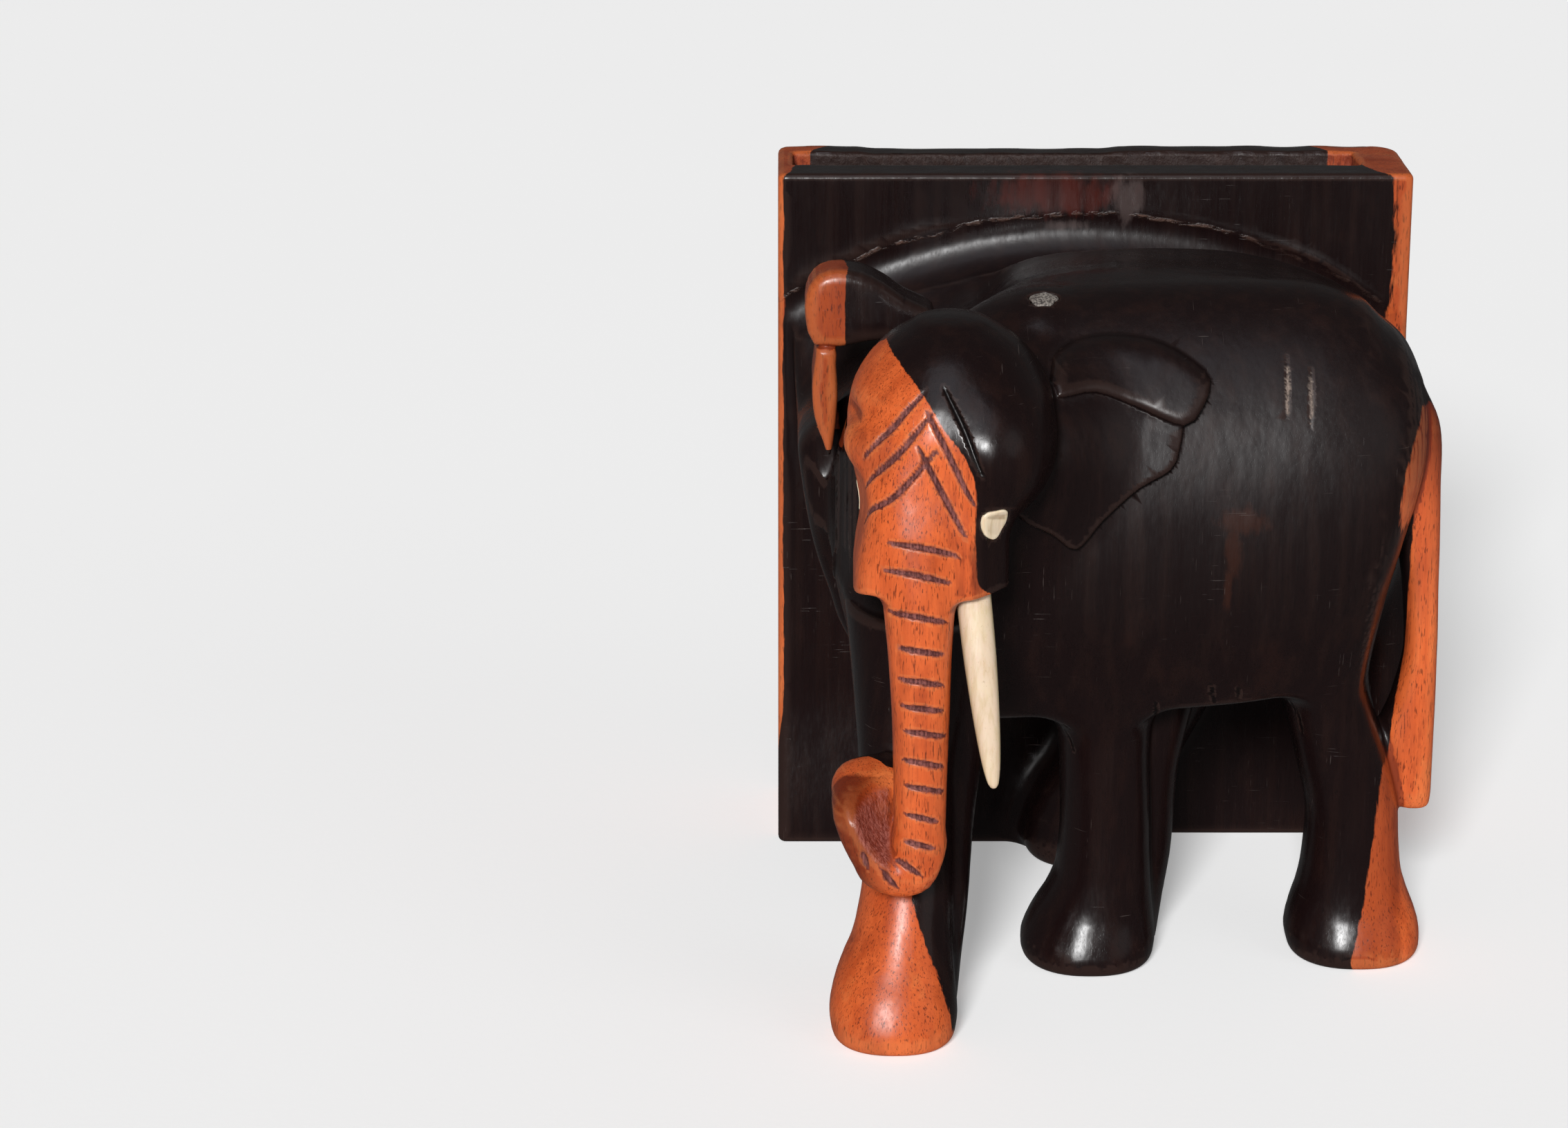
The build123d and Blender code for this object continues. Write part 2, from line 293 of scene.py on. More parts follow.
ARCH_CENTRE = (-3.0, 22.8)
ARCH_RADIUS = 110.0
COVE_CENTRE = (-3.0, 35.2, 22.8)
COVE_RING = 108.6
COVE_GOUGE = 7.0
BACK_LINE = [
    (-64, 92), (-54, 102), (-46, 109), (-38, 113), (-30, 116.5), (-22, 121.4),
    (-17, 125.2), (-12, 127.2), (-6, 128.2), (3, 128.9), (14, 129.2), (24, 128.8),
    (34, 127), (40, 125.2), (45, 123.2), (50, 120.2), (55, 116.4), (60, 112.6),
    (66, 107.6),
]
BACK_END = 25.0

BODY = [
    (60.2, -6, 102.5, 6, 5),
    (58.5, -5, 102, 15, 11),
    (55.4, -4, 99.5, 23, 19.5),
    (51.8, -3.8, 94.5, 27.5, 28),
    (47, -3.5, 88.5, 30.5, 38.5),
    (36, -3, 85, 33, 45),
    (20, -3, 82.5, 34, 48),
    (0, -3, 82.5, 34.5, 47.5),
    (-18, -4.5, 83, 32.5, 45.5),
    (-34, -8, 83.5, 29, 39.5),
    (-44, -10, 84, 22, 31),
    (-49, -8, 84, 15, 24),
    (-52.5, -6, 84, 6, 12),
]
WEB = [
    (-8, 4, 82, 50, 36, 2.2),
    (0, 4, 84, 54, 42, 2.3),
    (12, 4.5, 86.5, 57, 45.5, 2.6),
    (26, 5, 87, 57, 46, 3.2),
    (50, 5, 87, 57, 47, 3.2),
]
SHOULDER = [
    (-60.6, 130), (-60.9, 120), (-60.6, 108), (-60, 98), (-59.2, 90), (-57.6, 79.5),
    (-55.8, 72), (-53.3, 64.5), (-50.9, 57.5), (-46, 52), (-30, 52), (-26, 80),
    (-26, 120), (-34, 131),
]
NEAR_HIND_LEG = [
    (0, 48.6, -18.6, 12, 12.2),
    (2, 48.6, -18.6, 12.8, 12.7),
    (4.5, 48.4, -18.2, 13.1, 12.4),
    (7, 48.4, -17.6, 12.7, 11.9),
    (9.5, 48.3, -17, 11.9, 11.4),
    (13, 48.2, -16.6, 10.6, 10.9),
    (18, 48, -16.3, 9.5, 10.5),
    (27, 47.9, -16, 8.9, 10.2),
    (40, 45.2, -15, 8.9, 11.6),
    (54, 41.6, -13, 8.6, 14),
    (68, 40, -11, 10, 16),
]
NEAR_FORE_LEG = [
    (0, -3.4, -21.4, 12, 12.8),
    (2, -3.4, -21.4, 12.8, 13.3),
    (4.5, -3.2, -21, 13, 13),
    (7, -2.8, -20.4, 12.4, 12.5),
    (9.5, -2.2, -19.8, 11.6, 12),
    (13, -1.2, -19.4, 10.3, 11.5),
    (18, -0.4, -19.2, 9.2, 11),
    (26, -0.2, -19, 8.7, 10.8),
    (40, -0.6, -18, 8.6, 12),
    (54, -1, -16, 10, 14),
    (68, -1, -13, 12, 16),
]
FAR_FORE_LEG = [
    (0, -42, -60.2, 10.8, 10.8),
    (2, -42, -60, 11.5, 11.4),
    (5, -42, -59, 11.9, 11.7),
    (9, -41.8, -57.3, 11.4, 11.6),
    (13, -41.2, -55.3, 10.5, 11.2),
    (18, -40.2, -52.8, 9.2, 10.9),
    (28, -39.2, -48, 8.4, 11),
    (44, -39, -38, 9.2, 14),
    (60, -37.5, -28, 12, 18),
    (74, -36, -22, 15, 20),
]
FAR_HIND_LEG = [
    (0, 0, 34, 11.6, 12.4),
    (3, 0, 34, 12.8, 13.2),
    (8, 1, 35, 12.8, 12.6),
    (13, 2.6, 36, 12.2, 11.8),
    (20, 7, 37, 12, 10.8),
    (32, 13, 36, 12, 11),
    (46, 20, 32, 13, 13.5),
    (60, 24, 28, 15, 16),
]
GUSSETS = (
    [(0, 4, -13, 6.6, 8), (10, 4.6, -12.5, 7.4, 8), (20, 5.2, -12, 8.2, 8),
     (34, 5.2, -11, 9, 9), (48, 6.4, -9, 10.8, 10), (64, 7, -6, 13, 12)],
    [(0, -36.6, -49, 6.6, 8), (10, -36, -47, 7, 8), (21, -35.2, -45, 7.4, 9),
     (34, -34.4, -38, 7.8, 11), (50, -33, -30, 9, 14), (66, -32, -24, 10, 16)],
)
FACE = [
    (78, -35.6, -47.5, 14, 16.2, 5),
    (88, -35.6, -47.5, 14, 16.6, 5),
    (96, -35, -47.2, 13.5, 17, 4.4),
    (104, -34.4, -46.2, 14.2, 16.6, 3.6),
    (112, -33, -44.6, 15.8, 16.4, 2.8),
    (119, -31.8, -42.4, 16, 15.6, 2.4),
    (126, -32, -39.5, 10, 11, 2),
    (130, -32, -38, 5, 6, 2),
]
TRUNK = [
    (112, -38, -50, 5, 5),
    (102, -38, -54.6, 7, 7.6),
    (92, -38, -57.6, 7.2, 8.2),
    (84, -38, -59.6, 6.5, 7.6),
    (74, -37.8, -61.2, 5.7, 6.6),
    (60, -37.6, -62.6, 5.1, 5.9),
    (48, -37.6, -63.2, 4.8, 5.4),
    (39.6, -37.7, -63.4, 4.7, 5.1),
    (36, -38.6, -63.5, 4.2, 4.8),
    (32.5, -40.6, -63.5, 2.6, 3.6),
]
TAIL = [
    (28, 60, -13, 3.1, 3.8),
    (31, 59, -13, 4.4, 4.8),
    (36, 58.3, -13, 5.1, 5.3),
    (41, 57.7, -13, 5.7, 5.6),
    (51, 59.3, -13, 4.1, 5),
    (61, 60.2, -12.8, 3.1, 4.6),
    (71, 59.8, -12.2, 3.3, 5),
    (81, 59, -11.5, 4, 6),
    (92, 57.6, -10.5, 5.1, 7.6),
    (104, 56, -9.5, 6.2, 8.6),
    (114, 52.6, -8.5, 5, 7),
]


def slab():
    """The upright slab: rounder at its rear corners than in front, worn along its rear rim."""
    low = (-BLOCK_HALF_WIDTH, SLAB_FRONT, 0.0)
    high = (BLOCK_HALF_WIDTH, SLAB_BACK, TOP)
    front, rear_head, rear_tail, rim = 1.6, 2.6, 7.0, 1.2
    centre_y, half_y = (SLAB_FRONT + SLAB_BACK) / 2, (SLAB_BACK - SLAB_FRONT) / 2

    def distance(p):
        foot = SLAB_FOOT * smooth(p[2], 34.0, 0.0) * smooth(p[0], 8.0, -14.0)
        x, y = p[0], p[1] - centre_y
        y = y + foot * smooth(y, 6.0, -6.0)
        r = np.where(y < 0, front, np.where(x < 0, rear_head, rear_tail))
        qx, qy = np.abs(x) - BLOCK_HALF_WIDTH + r, np.abs(y) - half_y + r
        plan = norm(np.maximum(qx, 0), np.maximum(qy, 0)) + np.minimum(np.maximum(qx, qy), 0) - r
        worn = RIM_WEAR * smooth(p[1], 60.0, 66.0) * (smooth(x, -48.0, -43.0) - smooth(x, 2.0, 7.0))
        worn = worn + RIM_RIPPLE * ripple(p, 9.0) * smooth(p[1], 48.0, 58.0)
        upright = np.maximum(-p[2], p[2] - TOP + worn)
        a, b = plan + rim, upright + rim
        d = norm(np.maximum(a, 0), np.maximum(b, 0)) + np.minimum(np.maximum(a, b), 0) - rim
        return d

    return Shape(distance, low, high)


def cove_ring():
    """The gouge's path between the slab and the elephant's back."""
    cx, cy, cz = COVE_CENTRE

    def distance(p):
        ring = norm(p[0] - cx, p[2] - cz) - COVE_RING
        return norm(ring, p[1] - cy) - COVE_GOUGE

    reach = COVE_RING + COVE_GOUGE
    low = (cx - reach, cy - COVE_GOUGE, 60.0)
    return Shape(distance, low, (cx + reach, cy + COVE_GOUGE, cz + reach))


def under_back():
    """All that lies under the line of the back, which sweeps up or down to the arch on the slab."""
    line = eased(BACK_LINE, 1.0)

    def distance(p):
        back = np.interp(p[0], line[:, 0], line[:, 1])
        arch = ARCH_CENTRE[1] + np.sqrt(np.maximum(ARCH_RADIUS**2 - (p[0] - ARCH_CENTRE[0]) ** 2, 0))
        run = SLAB_FRONT - BACK_END
        t = np.clip((p[1] - BACK_END) / run, 0, 1)
        rise = np.maximum(arch - back, 0)
        top = back + rise * t**2.4
        slope = 2.4 * t**1.4 * rise / run
        return (p[2] - top) / np.sqrt(1.15 + slope * slope)

    return Shape(distance, (-70, -20, 0), (70, 60, 140))


HOOK_PIVOT = (-37.7, -63.4, 39.6)
HOOK_OUTLINE = [
    (-52.8, 48.6), (-53.6, 45.6), (-52.6, 41.4), (-50.8, 37.2), (-48, 33), (-44.6, 30.6),
    (-41, 29.6), (-37.2, 30.4), (-34.4, 33.4), (-34, 40), (-38, 48), (-42, 54),
    (-46, 53.2), (-50.6, 51.2),
]
HOOK_SCOOP = dict(centre=(-38.4, -73.0, 49.6), radii=(12.4, 15.4, 15.2))


def hook():
    """The trunk's end, turned towards -X and up, with a scooped hollow between its tip and the trunk."""
    corners = outline(HOOK_OUTLINE)

    def rind(p):
        edge = polygon_distance(p[0], p[2], corners)
        front = -68.6 + 0.16 * np.maximum(-44.0 - p[0], 0) + 0.02 * (p[2] - 30.0)
        return overlap(edge, np.maximum(front - p[1], p[1] + 47.0), 4.6)

    low = (-54, -70, 29)
    field = Field()
    field.add(Shape(rind, low, (-33, -46, 56)))
    field.cut(ball(**HOOK_SCOOP), blend=1.6)
    top = (0.05, 0.30, -0.95)
    field.cut(half_space((-50.0, -62.0, 48.4), top, (-56, -72, 40), (-30, -44, 62)), blend=4.0)
    pivot, bend = HOOK_PIVOT, 5.3
    turns = np.linspace(0, math.pi * 0.62, 9)
    x, y, z = pivot[0] - bend, pivot[1] - 0.2, pivot[2]
    path = [np.array([x + bend * math.cos(t), y, z - bend * math.sin(t)]) for t in turns]
    radii = list(np.linspace(4.9, 3.6, len(path)))
    field.add(Shape(lambda p: path_distance(p, path, radii), (-50, -70, 28), (-32, -56, 46)), 1.6)
    return Shape(field.at, low, (-32, -46, 56))


def ear(points, on, thickness, rim, low_y, high_y):
    """A flap of the given thickness that follows the field it lies on, inside an outline of x and z."""
    corners = outline(points)

    def distance(p):
        edge = polygon_distance(p[0], p[2], corners)
        flank = on.at(p)
        return np.maximum(overlap(edge, flank - thickness, rim), p[1] - high_y - 4.0)

    low = (corners[:, 0].min(), low_y, corners[:, 1].min())
    return Shape(distance, low, (corners[:, 0].max(), high_y, corners[:, 1].max()))


def slab_ear(points, front, back, rim):
    """A flat flap between two depths, inside an outline of x and z."""
    corners = outline(points)

    def distance(p):
        edge = polygon_distance(p[0], p[2], corners)
        lean = 0.10 * (p[2] - 112.0)
        faces = np.maximum(front + lean - p[1], p[1] - back)
        return overlap(edge, faces, rim)

    low = (corners[:, 0].min(), front - 4, corners[:, 1].min())
    return Shape(distance, low, (corners[:, 0].max(), back, corners[:, 1].max()))


BELLY = (-8.0, 0.0, 51.2)
BELLY_RISE = 5.5
HAUNCH = dict(low=(42.0, 5.0, 30.0), high=(62.6, 46.0, 112.0), radius=8.0)
NECK = dict(centre=(-21.0, -20.0, 102.0), radii=(20.5, 24.0, 19.0))
BOWL = dict(centre=(-38.0, 13.5, 138.0), radii=(19.0, 30.0, 21.6), turn=-12)
BOWL_BACK = 37.0
HUMP = dict(centre=(-13.8, -8.0, 121.4), radii=(8.6, 11.5, 8.2))
SKULL = dict(centre=(-31.8, -38.5, 113.0), radii=(18.8, 21.5, 19.4))
BROW = dict(centre=(-25.0, -48.4, 110.2), radii=(11.6, 15.4, 12.6))
FAR_BROW = dict(centre=(-46.0, -50.5, 111.4), radii=(5.2, 7.5, 5.0), turn=20)
FAR_CHEEK = dict(centre=(-56.0, -57.0, 101.2), radii=(7.8, 14.0, 7.0))
FOREHEAD_FOLD = dict(centre=(-53.0, -50.0, 116.6), radii=(4.2, 12.0, 1.6))
CHEEK = ((-27.4, -63.8, 96.0), (-0.72, 0.69, -0.06), (-30, -70, 70), (-4, -34, 104))
UNDER_BROW = ((-24.0, -60.0, 102.4), (-0.1, 0.25, 1.0), (-29, -70, 70), (-4, -34, 104))
JAW = ((-38.0, -62.0, 85.8), (0.06, 0.26, 0.96), (-60, -75, 60), (-8, -24, 94))
JAW_SIDE = ((-28.6, -62.0, 85.4), (-0.33, 0.24, 0.91), (-60, -75, 60), (-8, -24, 98))
NEAR_EAR_TOP = [
    (-12.5, 121), (-7, 123.4), (0.5, 124), (8, 122.8), (13.6, 120), (16.6, 117),
    (15, 112.6), (11.3, 109.6), (3, 112.6), (-5, 115.6), (-12.5, 116),
]
NEAR_EAR_LOW = [
    (-16, 117), (-10, 117.4), (-2, 115), (6, 111.6), (11, 110.6), (10.6, 105.6),
    (9, 102), (3, 98.6), (-3.5, 93), (-8.4, 87.6), (-13, 91), (-20, 96.5), (-20, 108),
]
FAR_EAR_TOP = [
    (-34, 124.6), (-39.4, 127.6), (-43.4, 130.4), (-47.6, 132.4), (-51.8, 133), (-55.4, 132.2),
    (-57.6, 129.8), (-58.4, 126), (-57.8, 121), (-56.6, 118.8), (-51.6, 118.4), (-46, 119.4),
    (-40, 119.6), (-34, 119),
]
FAR_EAR_LOW = [
    (-52.6, 118.2), (-56.2, 118.2), (-56.4, 116), (-57, 110.7), (-56.5, 105), (-55, 100.6),
    (-53.6, 97.4), (-52.7, 102.1), (-52.1, 109), (-52.4, 115),
]


def shoulder():
    """The wood behind the head, as wide as the slab at the top and narrower towards the fore foot."""
    corners = outline(SHOULDER)

    def distance(p):
        edge = polygon_distance(p[0], p[2], corners)
        return overlap(edge, np.maximum(3.0 - p[1], p[1] - 46.0), 6.0)

    return Shape(distance, (-61, 3, 50), (-20, 46, 132))


def torso():
    """The barrel of the body and the wood behind it, with a flat belly that rises towards the tail."""
    field = Field()
    field.add(both(pillar(1, WEB), under_back(), 3.0))
    field.add(both(shoulder(), under_back(), 3.0), blend=3.0)
    field.add(pillar(0, BODY), blend=7.0)
    rise = math.radians(BELLY_RISE)
    belly = half_space(BELLY, (-math.sin(rise), 0, math.cos(rise)), (-70, -50, -10), (70, 50, 62))
    field.cut(belly, blend=1.6)
    field.add(block(**HAUNCH), blend=5.0)
    return field


def head():
    """The skull and face, cut flat at the near cheek and under the jaw."""
    field = Field()
    field.add(ball(**SKULL))
    field.add(pillar(2, FACE, cap=2.0), blend=4.0)
    field.cut(both(half_space(*CHEEK), half_space(*UNDER_BROW), 1.6), blend=1.0)
    field.add(ball(**FAR_BROW), blend=2.4)
    field.add(ball(**BROW), blend=4.0)
    field.cut(ball(**FAR_CHEEK), blend=2.5)
    field.cut(ball(**FOREHEAD_FOLD), blend=1.6)
    field.cut(half_space(*JAW), blend=0.8)
    field.cut(half_space(*JAW_SIDE), blend=0.6)
    return Shape(field.at, (-56, -68, 74), (-8, -12, 136))


def elephant(field):
    """Adds legs, neck, ears, head, trunk and tail to the torso and slab."""
    for leg, blend in ((NEAR_HIND_LEG, 7.0), (NEAR_FORE_LEG, 7.0), (FAR_FORE_LEG, 7.0), (FAR_HIND_LEG, 5.0)):
        field.add(pillar(2, leg, power=2.3, cap=1.6), blend=blend)
    field.add(ball(**NECK), blend=7.0)
    in_front = half_space((0.0, BOWL_BACK, 0.0), (0.0, 1.0, 0.0), (-70, -30, 100), (0, BOWL_BACK, 150))
    field.cut(both(ball(**BOWL), in_front, 4.0), blend=6.0)
    field.add(ball(**HUMP), blend=2.5)
    for gusset in GUSSETS:
        field.add(pillar(2, gusset, power=2.2, cap=1.6), blend=1.2)
    flank = field.copy()
    field.add(ear(NEAR_EAR_LOW, flank, 1.7, 1.0, -50, -10), blend=0.4)
    field.add(ear(NEAR_EAR_TOP, flank, 3.1, 2.6, -50, -8), blend=0.4)
    field.add(slab_ear(FAR_EAR_LOW, -10.0, 8.0, 1.6), blend=0.6)
    field.add(slab_ear(FAR_EAR_TOP, -10.0, 4.0, 2.4), blend=0.5)
    field.add(head(), blend=1.6)
    field.add(pillar(2, TRUNK, power=2.4), blend=2.4)
    field.add(hook(), blend=1.0)
    field.add(pillar(2, TAIL, power=2.6, cap=1.2), blend=1.4)
    return field


def carving():
    """All the wood, before its small cuts."""
    field = Field()
    field.add(slab())
    field.add(Shape(torso().at, (-62, -42, 28), (62.6, 52, 134)), blend=2.0)
    field.cut(cove_ring(), blend=0.5)
    field.cut(block(SLOT_LOW, SLOT_HIGH, 0.8, rough=0.35), blend=0.8)
    return elephant(field)


# ---------------------------------------------------------------- meshing


def sculpt(field, low, high, voxel, keep=None):
    """The field on a grid. Where keep is near 1 the values are shaken, so that the mesh stays fine there."""
    shake = np.random.default_rng(5)
    low, high = np.array(low, float), np.array(high, float)
    cell = COARSE * voxel
    count = np.ceil((high - low) / (cell * BLOCK)).astype(int) * BLOCK
    band = 3 * voxel
    values = np.full(tuple(count * COARSE), band, np.float32)
    fine = np.arange(COARSE)
    step = np.stack(np.meshgrid(fine, fine, fine, indexing="ij"), -1).reshape(-1, 3)
    part = np.arange(BLOCK)
    cells = np.stack(np.meshgrid(part, part, part, indexing="ij"), -1).reshape(-1, 3)
    middle = (COARSE - 1) / 2
    for corner in np.ndindex(*(count // BLOCK)):
        place = np.array(corner) * BLOCK + cells
        centre = low + (place * COARSE + middle) * voxel
        d = field.at([v.astype(np.float32) for v in centre.T])
        solid = place[d < 0] * COARSE
        for dx, dy, dz in step:
            values[solid[:, 0] + dx, solid[:, 1] + dy, solid[:, 2] + dz] = -band
        near = place[np.abs(d) < cell * 1.25 + 1.0]
        if not len(near):
            continue
        index = (near[:, None, :] * COARSE + step[None]).reshape(-1, 3)
        points = (low + index * voxel).astype(np.float32)
        d = field.at(list(points.T))
        if keep:
            d = d + keep(points) * shake.uniform(-0.30, 0.30, len(d)) * voxel
        values[index[:, 0], index[:, 1], index[:, 2]] = np.clip(d, -band, band)
    grid = openvdb.FloatGrid(background=band)
    grid.copyFromArray(values)
    return grid, low


def polygons(grid, low, voxel, adaptivity):
    points, triangles, quads = grid.convertToPolygons(isovalue=0.0, adaptivity=adaptivity)
    return low + points * voxel, triangles, quads


def slopes_at(field, points, reach):
    """The field's value, direction and bend at each point."""
    points = points.astype(np.float32)
    size = 60000
    value, normal, bend = [], [], []
    order = np.lexsort((points[:, 2] // 16, points[:, 1] // 16, points[:, 0] // 16))
    for start in range(0, len(points), size):
        rows = order[start : start + size]
        p = list(points[rows].T)
        d0 = field.at(p)
        sides = []
        for axis in range(3):
            for way in (reach, -reach):
                q = list(p)
                q[axis] = q[axis] + np.float32(way)
                sides.append(field.at(q))
        g = np.stack([sides[0] - sides[1], sides[2] - sides[3], sides[4] - sides[5]], -1)
        g = g / np.maximum(np.linalg.norm(g, axis=1, keepdims=True), 1e-6)
        value.append(d0)
        normal.append(g)
        bend.append((sum(sides) - 6 * d0) / reach**2)
    back = np.empty(len(points), int)
    back[order] = np.arange(len(points))
    return np.concatenate(value)[back], np.concatenate(normal)[back], np.concatenate(bend)[back]

def settle(field, points):
    """Points moved straight onto the nearest surface, and the surface's directions there."""
    points = np.array(points, np.float32)
    for _ in range(8):
        value, normal, _bend = slopes_at(field, points, 0.3)
        points = points - normal * np.clip(value, -1.5, 1.5)[:, None]
    return points.astype(float), normal


# ---------------------------------------------------------------- small cuts and inlays


class Cut:
    """A knife or gouge stroke: a tube along the surface, thin at both ends."""

    def __init__(self, field, points, width, depth, tint, sharp=0.5):
        path, normal = settle(field, outline(points, closed=False, spacing=1.2))
        along = np.linspace(0, 1, len(path))
        taper = np.sin(math.pi * np.clip(along, 0.0, 1.0)) ** sharp
        self.radii = 0.06 + (width / 2 - 0.06) * taper
        lift = np.maximum(width / 2 - depth, -depth)
        self.path = path + normal * lift * taper[:, None]
        self.tint = tint

    def distance(self, p):
        return path_distance(p, self.path, self.radii)

    def shape(self):
        low, high = self.path.min(0) - 1, self.path.max(0) + 1
        return Shape(self.distance, low, high)


def disc(centre, normal, radii, turn, low, high, wobble):
    """A plug's prism: an uneven disc, from low to high along its axis."""
    n = np.array(normal, float) / np.linalg.norm(normal)
    side = np.cross((0, 0, 1), n)
    side = side / np.linalg.norm(side)
    up = np.cross(n, side)
    c, s = math.cos(math.radians(turn)), math.sin(math.radians(turn))

    def distance(p):
        w = [v - k for v, k in zip(p, centre)]
        a, b, h = (sum(v * k for v, k in zip(w, axis)) for axis in (side, up, n))
        a, b = c * a + s * b, c * b - s * a
        angle = np.arctan2(b, a)
        edge = 1 + wobble * (np.sin(3 * angle + turn) + 0.6 * np.sin(5 * angle + 2.0))
        rim = (norm(a / radii[0], b / radii[1]) - edge) * min(radii)
        return np.maximum(rim, np.maximum(low - h, h - high))

    reach = max(radii) * 1.4 + max(abs(low), abs(high))
    return Shape(distance, np.array(centre) - reach, np.array(centre) + reach)

FACE_CUTS = [
    [(-37.1, -57.1, 123.7), (-42.6, -58.1, 117.4), (-48, -56.6, 110.4)],
    [(-36.1, -59.5, 119.6), (-41.3, -60, 112.9), (-46.3, -56.1, 104.9)],
    [(-35.1, -61.5, 113.3), (-40.7, -61.3, 106.4), (-46.2, -55.9, 97.7)],
    [(-37.2, -59.1, 120.1), (-32.9, -61.8, 112.1), (-28.4, -62.3, 103.4)],
    [(-38.6, -60.7, 113.8), (-34.4, -62.5, 105.9), (-30.1, -63.1, 97.7)],
    [(-43.4, -63.1, 96.6), (-37.3, -65.1, 96.1), (-31.1, -63.6, 94.3)],
    [(-44.2, -63, 91.7), (-38.6, -66.1, 91.4), (-32.6, -64.6, 89.5)],
]
BROW_CUT = [(-34.2, -57.3, 124.6), (-30.6, -60.7, 117.3), (-26.8, -61.7, 109.2)]
TRUNK_CUTS = [
    [(-43.6, -64.2, 84.2), (-38.6, -67.2, 84), (-33.2, -65.4, 82.4)],
    [(-42, -66.2, 78), (-37.7, -67.6, 77.6), (-33.5, -66, 76.5)],
    [(-41.8, -66.5, 72.2), (-37.7, -67.9, 71.9), (-33.7, -66.4, 70.9)],
    [(-41.4, -67, 67.2), (-37.6, -68.2, 67), (-33.6, -66.6, 66)],
    [(-40.7, -67.6, 62.6), (-37.2, -68.4, 62.3), (-33.3, -66.4, 61.2)],
    [(-41, -67.5, 57.1), (-37.1, -68.6, 56.7), (-33.5, -66.6, 55.4)],
    [(-40.3, -68, 52.2), (-37.1, -68.6, 51.8), (-33.4, -66.4, 50.6)],
    [(-40.3, -68, 46.8), (-37.4, -68.6, 46.2), (-34.4, -67.6, 45.2)],
    [(-40.9, -68.1, 41.5), (-37.8, -69.3, 41.1), (-34.8, -68.5, 40.1)],
    [(-42.5, -67.5, 38), (-40, -69.2, 36.8), (-37.3, -68.8, 34.9)],
    [(-44.7, -67.8, 36.2), (-43.3, -68.5, 34.4), (-41.7, -68.4, 32.6)],
    [(-48.1, -67.4, 39.5), (-47.1, -67.6, 36.2)],
]
NICKS = [
    [(31, -23.4, 120.7), (31, -27.4, 115.7), (30.6, -30.5, 110.4)],
    [(35.5, -24.9, 118.7), (35.3, -28.4, 113.9), (34.9, -31.1, 108.8)],
    [(35.4, -23.5, 51.3), (36.8, -23.1, 46.2)],
    [(33.5, -23.5, 52.3), (34.4, -23.1, 49.2)],
    [(-8.9, -26.2, 47.9), (-7.1, -27, 43.9)],
    [(-7.9, -26.2, 52.9), (-6.8, -27, 49.9)],
    [(7.8, -31.6, 55.3), (8.4, -30, 50.6)],
    [(17.9, -32.9, 59.4), (18.8, -30.9, 55.1)],
    [(23.1, -32.3, 58.6), (23.6, -32, 55.4)],
    [(-13.9, -7, 130), (-12.5, -7.5, 130.2)],
    [(-11.5, -5.4, 130.9), (-9.5, -6, 130.6)],
]
RUMP_NICKS = 2

LOG = [
    (44.5, 71), (53, 55), (57.8, 43), (68, 40.5), (69, 30), (66, 12), (59, -2),
    (53.4, -14), (48.5, -28), (38, -46), (18, -62), (-10, -76), (-40, -78),
    (-62, -60), (-66, -36), (-64, -20), (-52.2, -14), (-51.8, 3.4), (-66, 4.6),
    (-68, 24), (-66, 40), (-61.3, 43), (-59, 58), (-52, 71), (-30, 82),
    (20, 84),
]
LOG_LEAN = 0.055
FRONT_EDGE = [
    (0, -30.6), (6, -31.7), (14.3, -34.3), (21.6, -37), (27, -38.8), (34, -38.8),
    (36, -24), (84, -24), (88, -27.6), (95, -27.8), (104.5, -28), (108.5, -28.6),
    (112.2, -30.2), (117.2, -34.2), (122, -37.6), (124.8, -40.4), (129, -44.6), (134, -48),
]
FRONT_DEPTH = [(0, -36), (28, -40), (34, -54), (80, -56), (86, -42), (140, -36)]
TRUNK_EDGE = -24.0
HOOK_ZONE = ((-54.0, -72.0, 30.0), (-33.0, -55.0, 50.0))
HEART_PULL = 16.0

EYE_DEPTH = 3.0
INLAY_GAP = 0.04
INLAY_FLOOR_GAP = 0.05
NEAR_EYE = dict(centre=(-24.9, -61.0, 99.6), turn=40.0)
FAR_EYE = dict(centre=(-48.6, -40.0, 99.0), turn=-94.0)
FILLER = dict(centre=(-13.6, -12.0, 127.5), tilt=20.0)
TUSK_ROOT = (-28.2, -58.5, 85.2)
TUSK_LENGTH = 32.6
TUSK_OUT = 3.6
TUSK_FORWARD = 9.0
TUSK_BOX = ((-34, -74, 48), (-16, -50, 90))
TUSK = [
    (-3, 3.2, 3), (3, 3.15, 3), (9, 3.05, 3), (16, 2.75, 2.7), (23, 2.3, 2.3),
    (29, 1.7, 1.8), (32.6, 1, 1.2), (33.5, 0.5, 0.6),
]


# ---------------------------------------------------------------- Blender objects


def srgb(red, green, blue):
    """A colour from its 0 to 255 values, as the linear numbers that nodes take."""
    parts = [c / 255 for c in (red, green, blue)]
    return tuple(c / 12.92 if c < 0.04045 else ((c + 0.055) / 1.055) ** 2.4 for c in parts) + (1.0,)


